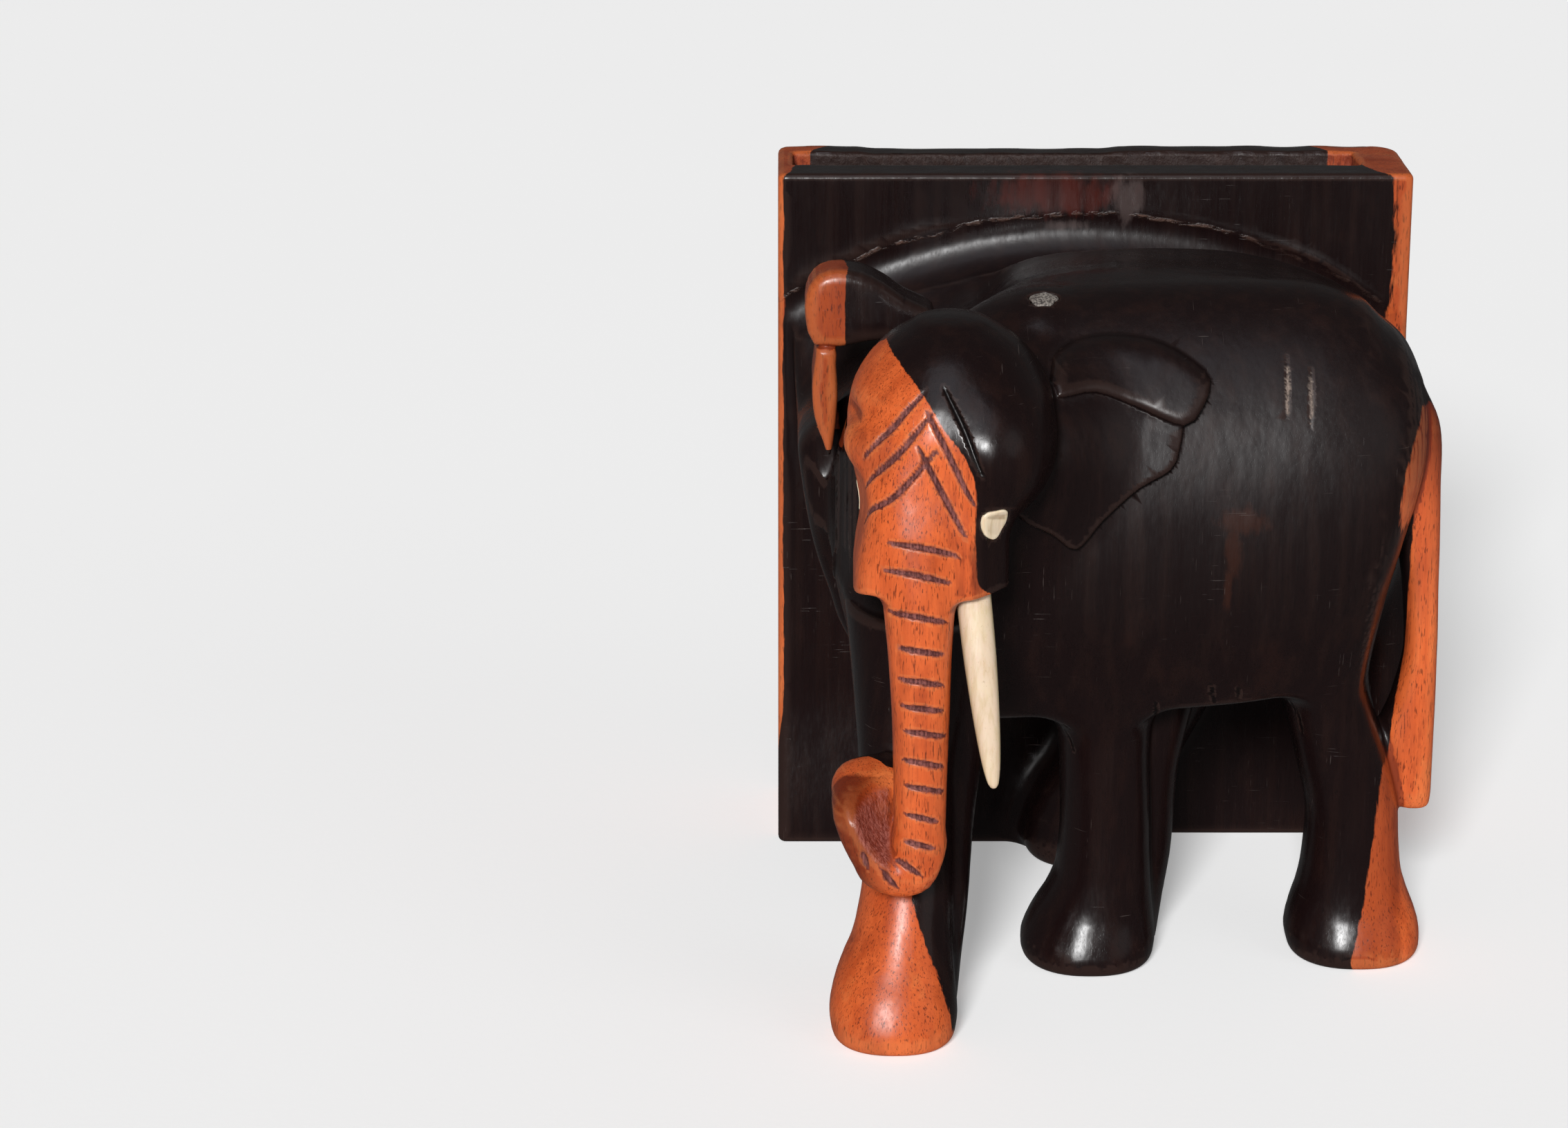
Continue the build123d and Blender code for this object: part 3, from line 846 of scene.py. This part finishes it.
def mesh_object(name, points, faces, normals, attributes, material):
    """A smooth object from millimetre points, with its own shading directions and number layers."""
    mesh = bpy.data.meshes.new(name)
    mesh.from_pydata((points * MM).tolist(), [], faces)
    mesh.polygons.foreach_set("use_smooth", np.ones(len(mesh.polygons), bool))
    for key, values in attributes.items():
        layer = mesh.attributes.new(key, "FLOAT", "POINT")
        layer.data.foreach_set("value", np.array(values, np.float32))
    mesh.update()
    if normals is not None:
        mesh.normals_split_custom_set_from_vertices(normals.tolist())
    mesh.materials.append(material)
    thing = bpy.data.objects.new(name, mesh)
    bpy.context.scene.collection.objects.link(thing)
    return thing


def faces_of(triangles, quads):
    return triangles.tolist() + quads.tolist()


def carve(name, field, low, high, voxel, limit, material, extra=None, keep=None):
    """Meshes a field as one closed skin with fewer triangles than the limit."""
    grid, corner = sculpt(field, low, high, voxel, keep)
    loose, tight = 0.0, 0.2
    points, triangles, quads = polygons(grid, corner, voxel, loose)
    for _ in range(6 if len(triangles) + 2 * len(quads) > limit else 0):
        middle = (loose + tight) / 2
        points, triangles, quads = polygons(grid, corner, voxel, middle)
        if len(triangles) + 2 * len(quads) < limit:
            best, tight = (points, triangles, quads), middle
        else:
            loose = middle
    if tight < 0.2:
        points, triangles, quads = best
    for _ in range(2):
        value, normal, _bend = slopes_at(field, points, 0.15)
        points = points - normal * np.clip(value, -0.3, 0.3)[:, None]
    _value, normal, bend = slopes_at(field, points, 0.35)
    layers = {"bend": bend}
    if extra:
        layers.update(extra(points, normal))
    print(name, len(points), "points", len(triangles) + 2 * len(quads), "triangles", "adaptivity", tight)
    return mesh_object(name, points, faces_of(triangles, quads), normal, layers, material)


# ---------------------------------------------------------------- materials


class Shader:
    """A material's nodes, added one by one. Places are in millimetres."""

    def __init__(self, name):
        self.material = bpy.data.materials.new(name)
        self.material.use_nodes = True
        self.tree = self.material.node_tree
        self.surface = self.tree.nodes["Principled BSDF"]
        self.place = self.math3("SCALE", self.add("ShaderNodeTexCoord").outputs["Object"], 1000.0)

    def set(self, socket, value):
        if isinstance(value, bpy.types.NodeSocket):
            self.tree.links.new(value, socket)
        else:
            socket.default_value = value

    def add(self, kind, **settings):
        node = self.tree.nodes.new(kind)
        for key, value in settings.items():
            setattr(node, key, value)
        return node

    def math(self, operation, a, b=0.0, c=0.0):
        node = self.add("ShaderNodeMath", operation=operation)
        for socket, value in zip(node.inputs, (a, b, c)):
            self.set(socket, value)
        return node.outputs[0]

    def plus(self, a, b):
        return self.math("ADD", a, b)

    def minus(self, a, b):
        return self.math("SUBTRACT", a, b)

    def times(self, a, b):
        return self.math("MULTIPLY", a, b)

    def math3(self, operation, a, b=None):
        node = self.add("ShaderNodeVectorMath", operation=operation)
        self.set(node.inputs[0], a)
        if operation != "LENGTH":
            self.set(node.inputs["Scale"] if operation == "SCALE" else node.inputs[1], b)
        return node.outputs["Value" if operation == "LENGTH" else "Vector"]

    def noise(self, size, detail=3.0, rough=0.55, shift=(0.0, 0.0, 0.0), place=None):
        """Noise from 0 to 1 with features of the given size along x, y and z, in millimetres."""
        place = self.math3("ADD", place or self.place, shift)
        place = self.math3("MULTIPLY", place, tuple(1 / v for v in size))
        node = self.add("ShaderNodeTexNoise")
        self.set(node.inputs["Vector"], place)
        self.set(node.inputs["Scale"], 1.0)
        self.set(node.inputs["Detail"], detail)
        self.set(node.inputs["Roughness"], rough)
        return node.outputs["Fac"]

    def step(self, value, low, high, to_low=0.0, to_high=1.0):
        """The value eased from one range into another."""
        node = self.add("ShaderNodeMapRange", interpolation_type="SMOOTHSTEP")
        for socket, number in zip(node.inputs, (value, low, high, to_low, to_high)):
            self.set(socket, number)
        return node.outputs[0]

    def mix(self, amount, a, b):
        node = self.add("ShaderNodeMix", data_type="RGBA")
        self.set(node.inputs["Factor"], amount)
        self.set(node.inputs[6], a)
        self.set(node.inputs[7], b)
        return node.outputs[2]

    def coats(self, colour, layers):
        """The colour under coats of others, each laid where its place and its strength say."""
        for place, strength, tint in layers:
            colour = self.mix(self.times(place, strength), colour, tint)
        return colour

    def layer(self, name):
        return self.add("ShaderNodeAttribute", attribute_name=name).outputs["Fac"]

    def bump(self, height, distance_mm, strength=1.0, normal=None):
        node = self.add("ShaderNodeBump")
        self.set(node.inputs["Strength"], strength)
        self.set(node.inputs["Distance"], distance_mm * MM)
        self.set(node.inputs["Height"], height)
        if normal:
            self.set(node.inputs["Normal"], normal)
        return node.outputs[0]

    def finish(self, colour, roughness, normal, **fixed):
        self.set(self.surface.inputs["Base Color"], colour)
        self.set(self.surface.inputs["Roughness"], roughness)
        self.set(self.surface.inputs["Normal"], normal)
        for key, value in fixed.items():
            self.set(self.surface.inputs[key.replace("_", " ")], value)
        return self.material


STAINS = (
    ("rust", (22.8, -37.0, 92.4), (4.4, 12.0, 2.8)),
    ("rust", (20.9, -37.0, 86.6), (1.6, 12.0, 5.4)),
    ("rust", (20.1, -37.0, 79.8), (0.9, 12.0, 4.4)),
    ("red", (-8.4, 42.0, 137.0), (13.0, 5.0, 4.4)),
    ("grey", (6.5, 42.0, 136.0), (3.4, 5.0, 4.4)),
    ("grey", (-5.6, 40.6, 130.6), (4.0, 3.0, 1.3)),
    ("scrape", (-47.0, -61.0, 112.0), (5.5, 9.0, 4.4)),
    ("char", (-27.0, -60.0, 91.5), (2.2, 9.0, 9.5)),
)
ARCH_LINE = 110.2
SCRATCHES = (((0.22, 8.0, 5.0), (2.0, 0.0, 1.0)), ((7.0, 7.0, 0.22), (0.0, 4.0, 3.0)))


def stain(s, kind, warp):
    """How strongly a point lies in the ragged patches of one kind."""
    total = None
    for name, centre, size in STAINS:
        if name == kind:
            offset = s.math3("DIVIDE", s.math3("SUBTRACT", s.place, centre), size)
            near = s.step(s.plus(s.math3("LENGTH", offset), warp), 1.25, 0.55)
            total = near if total is None else s.math("MAXIMUM", total, near)
    return total


def arch_edge(s):
    """The rough line that the gouge left on the slab, above the back."""
    offset = s.math3("SUBTRACT", s.place, (ARCH_CENTRE[0], 0.0, ARCH_CENTRE[1]))
    flat = s.math3("MULTIPLY", offset, (1.0, 0.0, 1.0))
    wander = s.times(s.minus(s.noise((9.0, 9.0, 9.0), 3.0), 0.5), 2.4)
    away = s.math("ABSOLUTE", s.plus(s.minus(s.math3("LENGTH", flat), ARCH_LINE), wander))
    split = s.add("ShaderNodeSeparateXYZ")
    s.set(split.inputs[0], s.place)
    x, y, z = split.outputs
    amount = s.step(s.noise((3.4, 3.4, 1.6), 4.0, 0.7, (4.0, 1.0, 6.0)), 0.42, 0.66)
    for fade in (s.step(x, 38.0, 18.0, 0.25, 1.0), s.step(y, 44.5, 43.0), s.step(away, 0.6, 0.15),
                 s.step(y, 40.4, 41.2), s.step(z, 112.0, 116.0)):
        amount = s.times(amount, fade)
    return amount


def scratches(s, ways):
    """Fine bright lines left by sanding, each set along its own direction."""
    total = None
    for size, shift in ways:
        line = s.step(s.noise(size, 2.0, 0.5, shift), 0.705, 0.76)
        total = line if total is None else s.math("MAXIMUM", total, line)
    patchy = s.step(s.noise((14.0, 14.0, 20.0), 2.0, 0.5, (9.0, 3.0, 5.0)), 0.50, 0.68)
    return s.times(total, patchy)


def wood_marks(s):
    """The noises and number layers that the wood's colour, gloss and relief share."""
    m = SimpleNamespace()
    m.fibre = s.noise((0.42, 0.42, 9.0), 4.0, 0.6)
    m.streak = s.noise((3.2, 3.2, 70.0), 3.0, 0.55, (7.0, 0.0, 3.0))
    m.cloud = s.noise((9.0, 9.0, 22.0), 4.0, 0.62, (3.0, 9.0, 1.0))
    m.blotch = s.noise((4.0, 4.0, 10.0), 3.0, 0.65, (6.0, 2.0, 9.0))
    m.pores = s.step(s.noise((0.28, 0.28, 2.2), 2.0, 0.5, (5.0, 2.0, 8.0)), 0.585, 0.66)
    m.dashes = s.step(s.noise((0.5, 0.5, 4.5), 3.0, 0.6, (1.0, 7.0, 2.0)), 0.60, 0.72)
    m.warp = s.times(s.minus(s.noise((2.6, 2.6, 7.0), 4.0, 0.65), 0.5), 2.2)
    # Concave places: in the sapwood's colour they carry painted shade.
    m.hollow = s.step(s.layer("bend"), -0.02, -0.30)
    m.worn = s.step(s.layer("bend"), 0.10, 0.55)
    for name in ("rough", "aged", "stained", "matte", "dark", "black", "pale"):
        setattr(m, name, s.layer(name))
    m.arch = arch_edge(s)
    m.scratch = scratches(s, SCRATCHES)
    return m


def sap_share(s):
    """1 in the sapwood and 0 in the heart, with a ragged line between them."""
    ragged = s.minus(s.noise((1.0, 1.0, 7.0), 4.0, 0.65), 0.5)
    drift = s.minus(s.noise((16.0, 16.0, 60.0), 2.0), 0.5)
    line = s.plus(s.layer("sap"), s.times(ragged, 1.1))
    return s.step(s.plus(line, s.times(drift, 1.4)), -0.14, 0.14)


def sapwood_colour(s, m):
    purple = s.mix(s.step(m.fibre, 0.4, 0.62), srgb(112, 46, 34), srgb(150, 84, 72))
    bare = s.mix(s.step(m.fibre, 0.40, 0.66), srgb(74, 32, 30), srgb(128, 74, 68))
    orange = s.mix(s.step(m.streak, 0.35, 0.7), srgb(206, 95, 46), srgb(186, 80, 36))
    return s.coats(orange, (
        (s.step(m.cloud, 0.50, 0.74), 0.75, srgb(150, 58, 24)),
        (s.step(m.blotch, 0.56, 0.74), 0.45, srgb(126, 44, 20)),
        (s.step(m.cloud, 0.44, 0.30), 0.55, srgb(218, 122, 66)),
        # Painted shade on the far ear, hind leg, rump, slab and fore foot; the hook tip gets the same darker
        # tone.
        (m.aged, 1.0, srgb(96, 30, 11)),
        (s.step(m.fibre, 0.45, 0.75), 0.40, srgb(132, 52, 22)),
        (m.dashes, 0.45, srgb(104, 36, 16)),
        (m.pores, 0.72, srgb(76, 26, 12)),
        (stain(s, "scrape", m.warp), s.step(m.dashes, 0.0, 0.5, 0.35, 0.9), srgb(92, 30, 22)),
        (stain(s, "char", m.warp), 0.72, srgb(88, 26, 14)),
        # Painted shade in concave places.
        (m.hollow, 0.6, srgb(96, 32, 18)),
        (m.worn, 0.18, srgb(222, 138, 84)),
        (m.stained, s.step(m.blotch, 0.3, 0.7, 1.0, 0.55), purple),
        (m.rough, 0.35, srgb(118, 52, 40)),
        (m.dark, 1.0, bare),
    ))


def heartwood_colour(s, m):
    dark = s.mix(s.step(m.streak, 0.42, 0.75), srgb(21, 11, 11), srgb(28, 15, 13))
    return s.coats(dark, (
        (s.step(m.cloud, 0.54, 0.76), 0.40, srgb(38, 19, 14)),
        (s.step(m.fibre, 0.55, 0.80), 0.14, srgb(42, 27, 24)),
        (m.pores, 0.35, srgb(9, 5, 5)),
        (stain(s, "rust", m.warp), 0.5, srgb(56, 27, 16)),
        (stain(s, "red", m.warp), s.step(m.streak, 0.3, 0.6, 0.4, 0.9), srgb(66, 24, 18)),
        (stain(s, "grey", m.warp), 0.6, srgb(78, 66, 64)),
        (m.worn, 0.22, srgb(70, 52, 46)),
        (m.rough, 0.45, srgb(62, 46, 42)),
        (m.scratch, 0.5, srgb(90, 80, 76)),
        (m.arch, 0.50, srgb(112, 82, 70)),
        (m.dark, 1.0, srgb(44, 28, 26)),
        (m.black, 0.8, srgb(8, 5, 5)),
        (m.pale, s.step(m.fibre, 0.30, 0.62, 0.25, 1.0), srgb(138, 122, 112)),
    ))


def wood():
    s = Shader("two_tone_ebony")
    m = wood_marks(s)
    sap = sap_share(s)
    colour = s.mix(sap, heartwood_colour(s, m), sapwood_colour(s, m))
    roughness = s.step(m.streak, 0.3, 0.8, 0.22, 0.27)
    roughness = s.plus(roughness, s.step(m.cloud, 0.3, 0.75, -0.02, 0.05))
    roughness = s.plus(roughness, s.step(m.fibre, 0.35, 0.75, -0.02, 0.04))
    for extra, amount in ((sap, 0.06), (m.worn, -0.04), (m.matte, 0.13), (m.rough, 0.34), (m.stained, 0.22),
                          (m.dark, 0.3), (m.pale, 0.3), (m.hollow, 0.08), (m.pores, 0.02), (m.arch, 0.3),
                          (m.scratch, 0.15)):
        roughness = s.plus(roughness, s.times(extra, amount))

    tool = s.noise((3.5, 3.5, 7.0), 2.0, 0.5, (1.0, 4.0, 2.0))
    grain = s.minus(s.times(m.fibre, 0.5), s.times(m.pores, 0.4))
    gouge = s.noise((0.9, 0.9, 1.6), 4.0, 0.65)
    gouged = s.math("MAXIMUM", s.math("MAXIMUM", m.rough, m.stained), m.arch)
    normal = s.bump(tool, 0.20, 0.6)
    normal = s.bump(grain, 0.008, 1.0, normal)
    normal = s.bump(s.times(m.scratch, -1.0), 0.015, 1.0, normal)
    normal = s.bump(s.times(gouge, gouged), 0.50, 1.0, normal)
    return s.finish(colour, roughness, normal, Specular_IOR_Level=0.26)


def bone(name, light, shade, side=None):
    s = Shader(name)
    vein = s.noise((0.9, 0.9, 14.0), 4.0, 0.6)
    cloud = s.noise((5.0, 5.0, 9.0), 3.0, 0.6, (2.0, 3.0, 4.0))
    speck = s.step(s.noise((0.35, 0.35, 0.6), 2.0), 0.66, 0.74)
    hollow = s.step(s.layer("bend"), 0.0, -0.4)
    colour = s.mix(s.step(vein, 0.40, 0.72), light, shade)
    colour = s.coats(colour, (
        (s.step(cloud, 0.45, 0.8), 0.5, srgb(206, 190, 150)),
        (speck, 0.4, srgb(150, 118, 84)),
        # Painted shade in concave places of the bone.
        (hollow, 0.5, srgb(120, 92, 60)),
        # Painted shade: the edge layer darkens and yellows the tusk's sides that face along X.
        (s.layer("edge"), 0.6, side or shade),
    ))
    roughness = s.step(cloud, 0.3, 0.8, 0.30, 0.42)
    normal = s.bump(s.noise((0.5, 0.5, 6.0), 3.0), 0.05)
    normal = s.bump(s.noise((2.5, 2.5, 6.0), 2.0), 0.15, 0.6, normal)
    return s.finish(colour, roughness, normal, Subsurface_Weight=0.12, Subsurface_Scale=0.002)


def putty():
    s = Shader("filler")
    grit = s.noise((0.45, 0.45, 0.45), 4.0, 0.7)
    cloud = s.noise((1.6, 1.6, 1.6), 3.0, 0.6, (2.0, 5.0, 1.0))
    colour = s.mix(s.step(grit, 0.38, 0.62), srgb(58, 52, 50), srgb(150, 142, 134))
    colour = s.mix(s.times(s.step(cloud, 0.5, 0.8), 0.6), colour, srgb(98, 88, 80))
    roughness = s.step(grit, 0.3, 0.7, 0.45, 0.75)
    normal = s.bump(grit, 0.12)
    return s.finish(colour, roughness, normal)


def paper():
    s = Shader("studio_floor")
    tone = s.noise((220.0, 220.0, 220.0), 2.0)
    colour = s.mix(tone, srgb(240, 240, 240), srgb(236, 236, 236))
    normal = s.bump(s.noise((1.5, 1.5, 1.5), 2.0), 0.02)
    roughness = s.step(tone, 0.0, 1.0, 0.85, 0.95)
    return s.finish(colour, roughness, normal, Emission_Color=srgb(245, 245, 245), Emission_Strength=0.35)


# ---------------------------------------------------------------- the object


def slot_zone(points):
    """How deep a point is in the slot, where the wood was never polished."""
    low, high = np.array(SLOT_LOW) - 0.6, np.array(SLOT_HIGH) + (0.6, 0.6, 0)
    depth = np.minimum(points - low, high - points).min(1)
    return smooth(depth, 0.0, 0.5) * smooth(points[:, 2], TOP - 0.2, TOP - 1.0)


wood_material = wood()
solid = carving()
cuts = [Cut(solid, path, 1.0, 0.5, "dark", 0.6) for path in FACE_CUTS + TRUNK_CUTS]
cuts.append(Cut(solid, BROW_CUT, 1.0, 0.6, "black"))
cuts += [Cut(solid, path, 0.5, 0.3, "pale", 1.4) for path in NICKS[:RUMP_NICKS]]
cuts += [Cut(solid, path, 0.4, 0.25, "black", 1.0) for path in NICKS[RUMP_NICKS:]]


def facing(turn):
    return (math.sin(math.radians(turn)), -math.cos(math.radians(turn)), 0.0)


(near_spot, far_spot), _ = settle(solid, [NEAR_EYE["centre"], FAR_EYE["centre"]])
filler_tilt = math.radians(FILLER["tilt"])
filler_facing = (0.0, -math.sin(filler_tilt), math.cos(filler_tilt))
PLUGS = {
    "near_eye": (near_spot, facing(NEAR_EYE["turn"]), (3.0, 2.9), 0.0, 0.05),
    "far_eye": (far_spot, facing(FAR_EYE["turn"]), (2.5, 2.9), 0.0, 0.06),
    "knot_filler": (settle(solid, [FILLER["centre"]])[0][0], filler_facing, (2.7, 2.4), 20.0, 0.08),
}

carved = solid.copy()
for cut in cuts:
    carved.cut(cut.shape(), 0.25)
for spot, way, radii, turn, wobble in PLUGS.values():
    carved.cut(disc(spot, way, radii, turn, -EYE_DEPTH, 3.0, wobble), 0.12)


def zone(p, *edges):
    """1 inside a region with soft edges: each edge is an axis, where it starts and where it is full."""
    amount = 1.0
    for axis, start, full in edges:
        amount = amount * smooth(p[axis], start, full)
    return amount


def sapwood(p):
    """Distance out of the log's dark heart: straight at slab and tail, slanted at the face and fore foot."""
    lean = LOG_LEAN * p[2] * zone(p, (0, 10.0, 40.0), (1, 35.0, 0.0))
    log = polygon_distance(p[0] - lean, p[1], outline(LOG))
    edge = np.interp(p[2], *np.array(FRONT_EDGE).T)
    edge = edge + (TRUNK_EDGE - edge) * zone(p, (1, -58.8, -59.8), (2, 27.6, 29.2), (2, 90.0, 84.0))
    depth = np.interp(p[2], *np.array(FRONT_DEPTH).T) + 5.0 * smooth(p[0], -43.0, -47.0)
    behind_ear = zone(p, (2, 99.2, 97.8), (0, -40.0, -48.0), (1, -16.0, -12.0), (1, 41.0, 38.0))
    log = log - HEART_PULL * behind_ear
    front = (edge - p[0]) * 0.85
    share = smooth(p[1], depth + 1.5, depth - 1.5) * smooth(p[0], -10.0, -16.0)
    return log + (front - log) * share


def near_cuts(points):
    """1 close to a cut, 0 elsewhere."""
    amount = np.zeros(len(points))
    low, high = points.min(0) - 2, points.max(0) + 2
    for cut in cuts:
        if np.all(cut.path.min(0) < high) and np.all(cut.path.max(0) > low):
            amount = np.maximum(amount, smooth(cut.distance(list(points.T)), 1.3, 0.8))
    rim = norm(points[:, 1] - SLAB_FRONT, points[:, 2] - TOP)
    return np.maximum(amount, smooth(rim, 3.4, 2.6))


def cut_layer(p, tint):
    """1 in the middle of the cuts of one tint, 0 elsewhere."""
    amount = np.zeros(len(p[0]))
    for cut in cuts:
        if cut.tint == tint:
            amount = np.maximum(amount, smooth(cut.distance(p), 0.06 if tint == "pale" else 0.22, 0.0))
    return amount


def wood_layers(points, normal):
    p = list(points.astype(np.float32).T)
    layers = {tint: cut_layer(p, tint) for tint in ("dark", "black", "pale")}
    layers["sap"] = sapwood(p)
    layers["rough"] = slot_zone(points)
    low, high = HOOK_ZONE
    inside = np.all((points > low) & (points < high), axis=1)
    scoop = ball(**HOOK_SCOOP).distance(p)
    layers["stained"] = smooth(scoop, 1.0, 0.2) * inside * smooth(points[:, 0], -42.6, -43.6)
    flank = zone(p, (0, -16.0, -6.0), (1, -6.0, -16.0), (2, 62.0, 76.0))
    cove = zone(p, (1, 22.0, 28.0), (1, 42.4, 41.4), (2, 94.0, 104.0))
    layers["matte"] = np.maximum(flank, cove)
    hook_tip = inside * smooth(points[:, 0], -42.0, -49.0)
    ear_back = zone(p, (1, -24.0, -16.0), (0, -40.0, -48.0), (1, 34.0, 26.0))
    hind_leg = zone(p, (0, 30.0, 38.0), (1, 34.0, 26.0), (2, 48.0, 36.0), (0, 57.4, 56.0))
    rump = zone(p, (2, 86.0, 106.0), (0, 40.0, 50.0), (1, 34.0, 26.0))
    slab = smooth(p[1], 38.0, 41.0)
    foot = zone(p, (2, 40.0, 24.0), (0, -20.0, -30.0))
    # Painted shade: the far ear's back, the hind leg, the rump, the slab and the fore foot's lower part are
    # darkened as if in shade; the hook tip gets the same darker tone.
    aged = 0.9 * hook_tip + 0.6 * ear_back + 0.56 * hind_leg + 0.9 * rump + 0.32 * slab + 0.12 * foot
    layers["aged"] = np.clip(aged, 0, 1.0)
    return layers


body = carve(
    "elephant_and_slab", carved, (-66, -74, -2.5), (66, 74, 144), VOXEL, TRIANGLE_LIMIT, wood_material,
    wood_layers, near_cuts,
)
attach(body, "root")
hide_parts("carved_block")

# The last colour is the painted shade on the tusk's sides.
bone_material = bone("bone", srgb(208, 186, 162), srgb(194, 170, 138), srgb(178, 166, 112))
eye_material = bone("eye_bone", srgb(222, 202, 176), srgb(204, 180, 148))
putty_material = putty()


def inlay(name, spot, way, radii, turn, wobble, material):
    """An eye or the knot's filler: a plug that stands a little out of the wood, or a little under it."""
    plug = disc(spot, way, [r - INLAY_GAP for r in radii], turn, INLAY_FLOOR_GAP - EYE_DEPTH, 3.0, wobble)
    proud = 0.15 if "eye" in name else -0.05
    skin = Field()
    skin.add(Shape(lambda p: overlap(plug.distance(p), solid.at(p) - proud, 0.35), spot - 6, spot + 6))
    return carve(
        name + "_inlay", skin, spot - 5.5, spot + 5.5, 0.22, 20000, material,
        lambda points, normal: {"edge": np.zeros(len(points))},
    )


for name, plug in PLUGS.items():
    is_eye = "eye" in name
    piece = inlay(name, *plug, eye_material if is_eye else putty_material)
    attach(piece, "root")
    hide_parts(name)


def tusk_field():
    """The tusk along its own axis, from the root down."""
    root = np.array(TUSK_ROOT)
    stations = [(-down, 0.0, 0.0, half_width, half_depth) for down, half_width, half_depth in reversed(TUSK)]
    shaft = pillar(2, stations, power=2.5, cap=0.5)

    def distance(p):
        down = root[2] - p[2]
        x = p[0] - root[0] - TUSK_OUT / TUSK_LENGTH * down
        y = p[1] - root[1] + TUSK_FORWARD / TUSK_LENGTH * down
        return shaft.distance([x, y, -down])

    field = Field()
    field.add(Shape(distance, root - (6, 14, 36), root + (9, 6, 4)))
    return field


# Painted shade: the sides of the tusk that face along X are tinted darker and yellower.
def tusk_side_shade(points, normal):
    return {"edge": smooth(np.abs(normal[:, 0]), 0.75, 1.0) * 0.6}


tusk = carve("tusk_near", tusk_field(), *TUSK_BOX, 0.3, 30000, bone_material, tusk_side_shade)
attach(tusk, "root")
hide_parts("tusk")


# ---------------------------------------------------------------- floor, light and camera


def floor():
    mesh = bpy.data.meshes.new("floor")
    steps = np.linspace(-1, 1, 9) * 5.0
    points = [(x, y, 0.0) for y in steps for x in steps]
    corners = [9 * j + i for j in range(8) for i in range(8)]
    faces = [(k, k + 1, k + 10, k + 9) for k in corners]
    mesh.from_pydata(points, [], faces)
    mesh.materials.append(paper())
    thing = bpy.data.objects.new("floor", mesh)
    thing.visible_glossy = False
    bpy.context.scene.collection.objects.link(thing)


def sun(name, place, width, power):
    """A distant soft light that shines from a place towards the origin. Its width is in degrees."""
    data = bpy.data.lights.new(name, "SUN")
    data.angle = math.radians(width)
    data.energy = power
    lamp = bpy.data.objects.new(name, data)
    lamp.location = place
    lamp.rotation_euler = (-Vector(place)).to_track_quat("-Z", "Y").to_euler()
    bpy.context.scene.collection.objects.link(lamp)
    return lamp


def studio():
    world = bpy.data.worlds.new("studio")
    world.use_nodes = True
    world.node_tree.nodes["Background"].inputs["Color"].default_value = srgb(238, 238, 238)
    world.node_tree.nodes["Background"].inputs["Strength"].default_value = 0.10
    bpy.context.scene.world = world
    sun("key", (-0.36, -1.75, 0.92), 13.0, 3.45)
    sun("fill", (1.5, -1.2, 0.9), 40.0, 0.2)
    window = sun("window", (-0.3, -1.0, 2.0), 40.0, 0.55)
    window.data.color = (0.86, 0.91, 1.0)
    window.visible_diffuse = False


def camera():
    data = bpy.data.cameras.new("camera")
    data.lens = 93.5
    data.sensor_width = 36.0
    data.clip_start = 0.01
    seat = bpy.data.objects.new("camera", data)
    seat.location = (-0.0623, -0.756, 0.3111)
    seat.rotation_euler = (math.radians(72.5), 0.0, 0.0)
    bpy.context.scene.collection.objects.link(seat)
    bpy.context.scene.camera = seat


floor()
studio()
camera()
bpy.context.scene.view_settings.view_transform = "Standard"
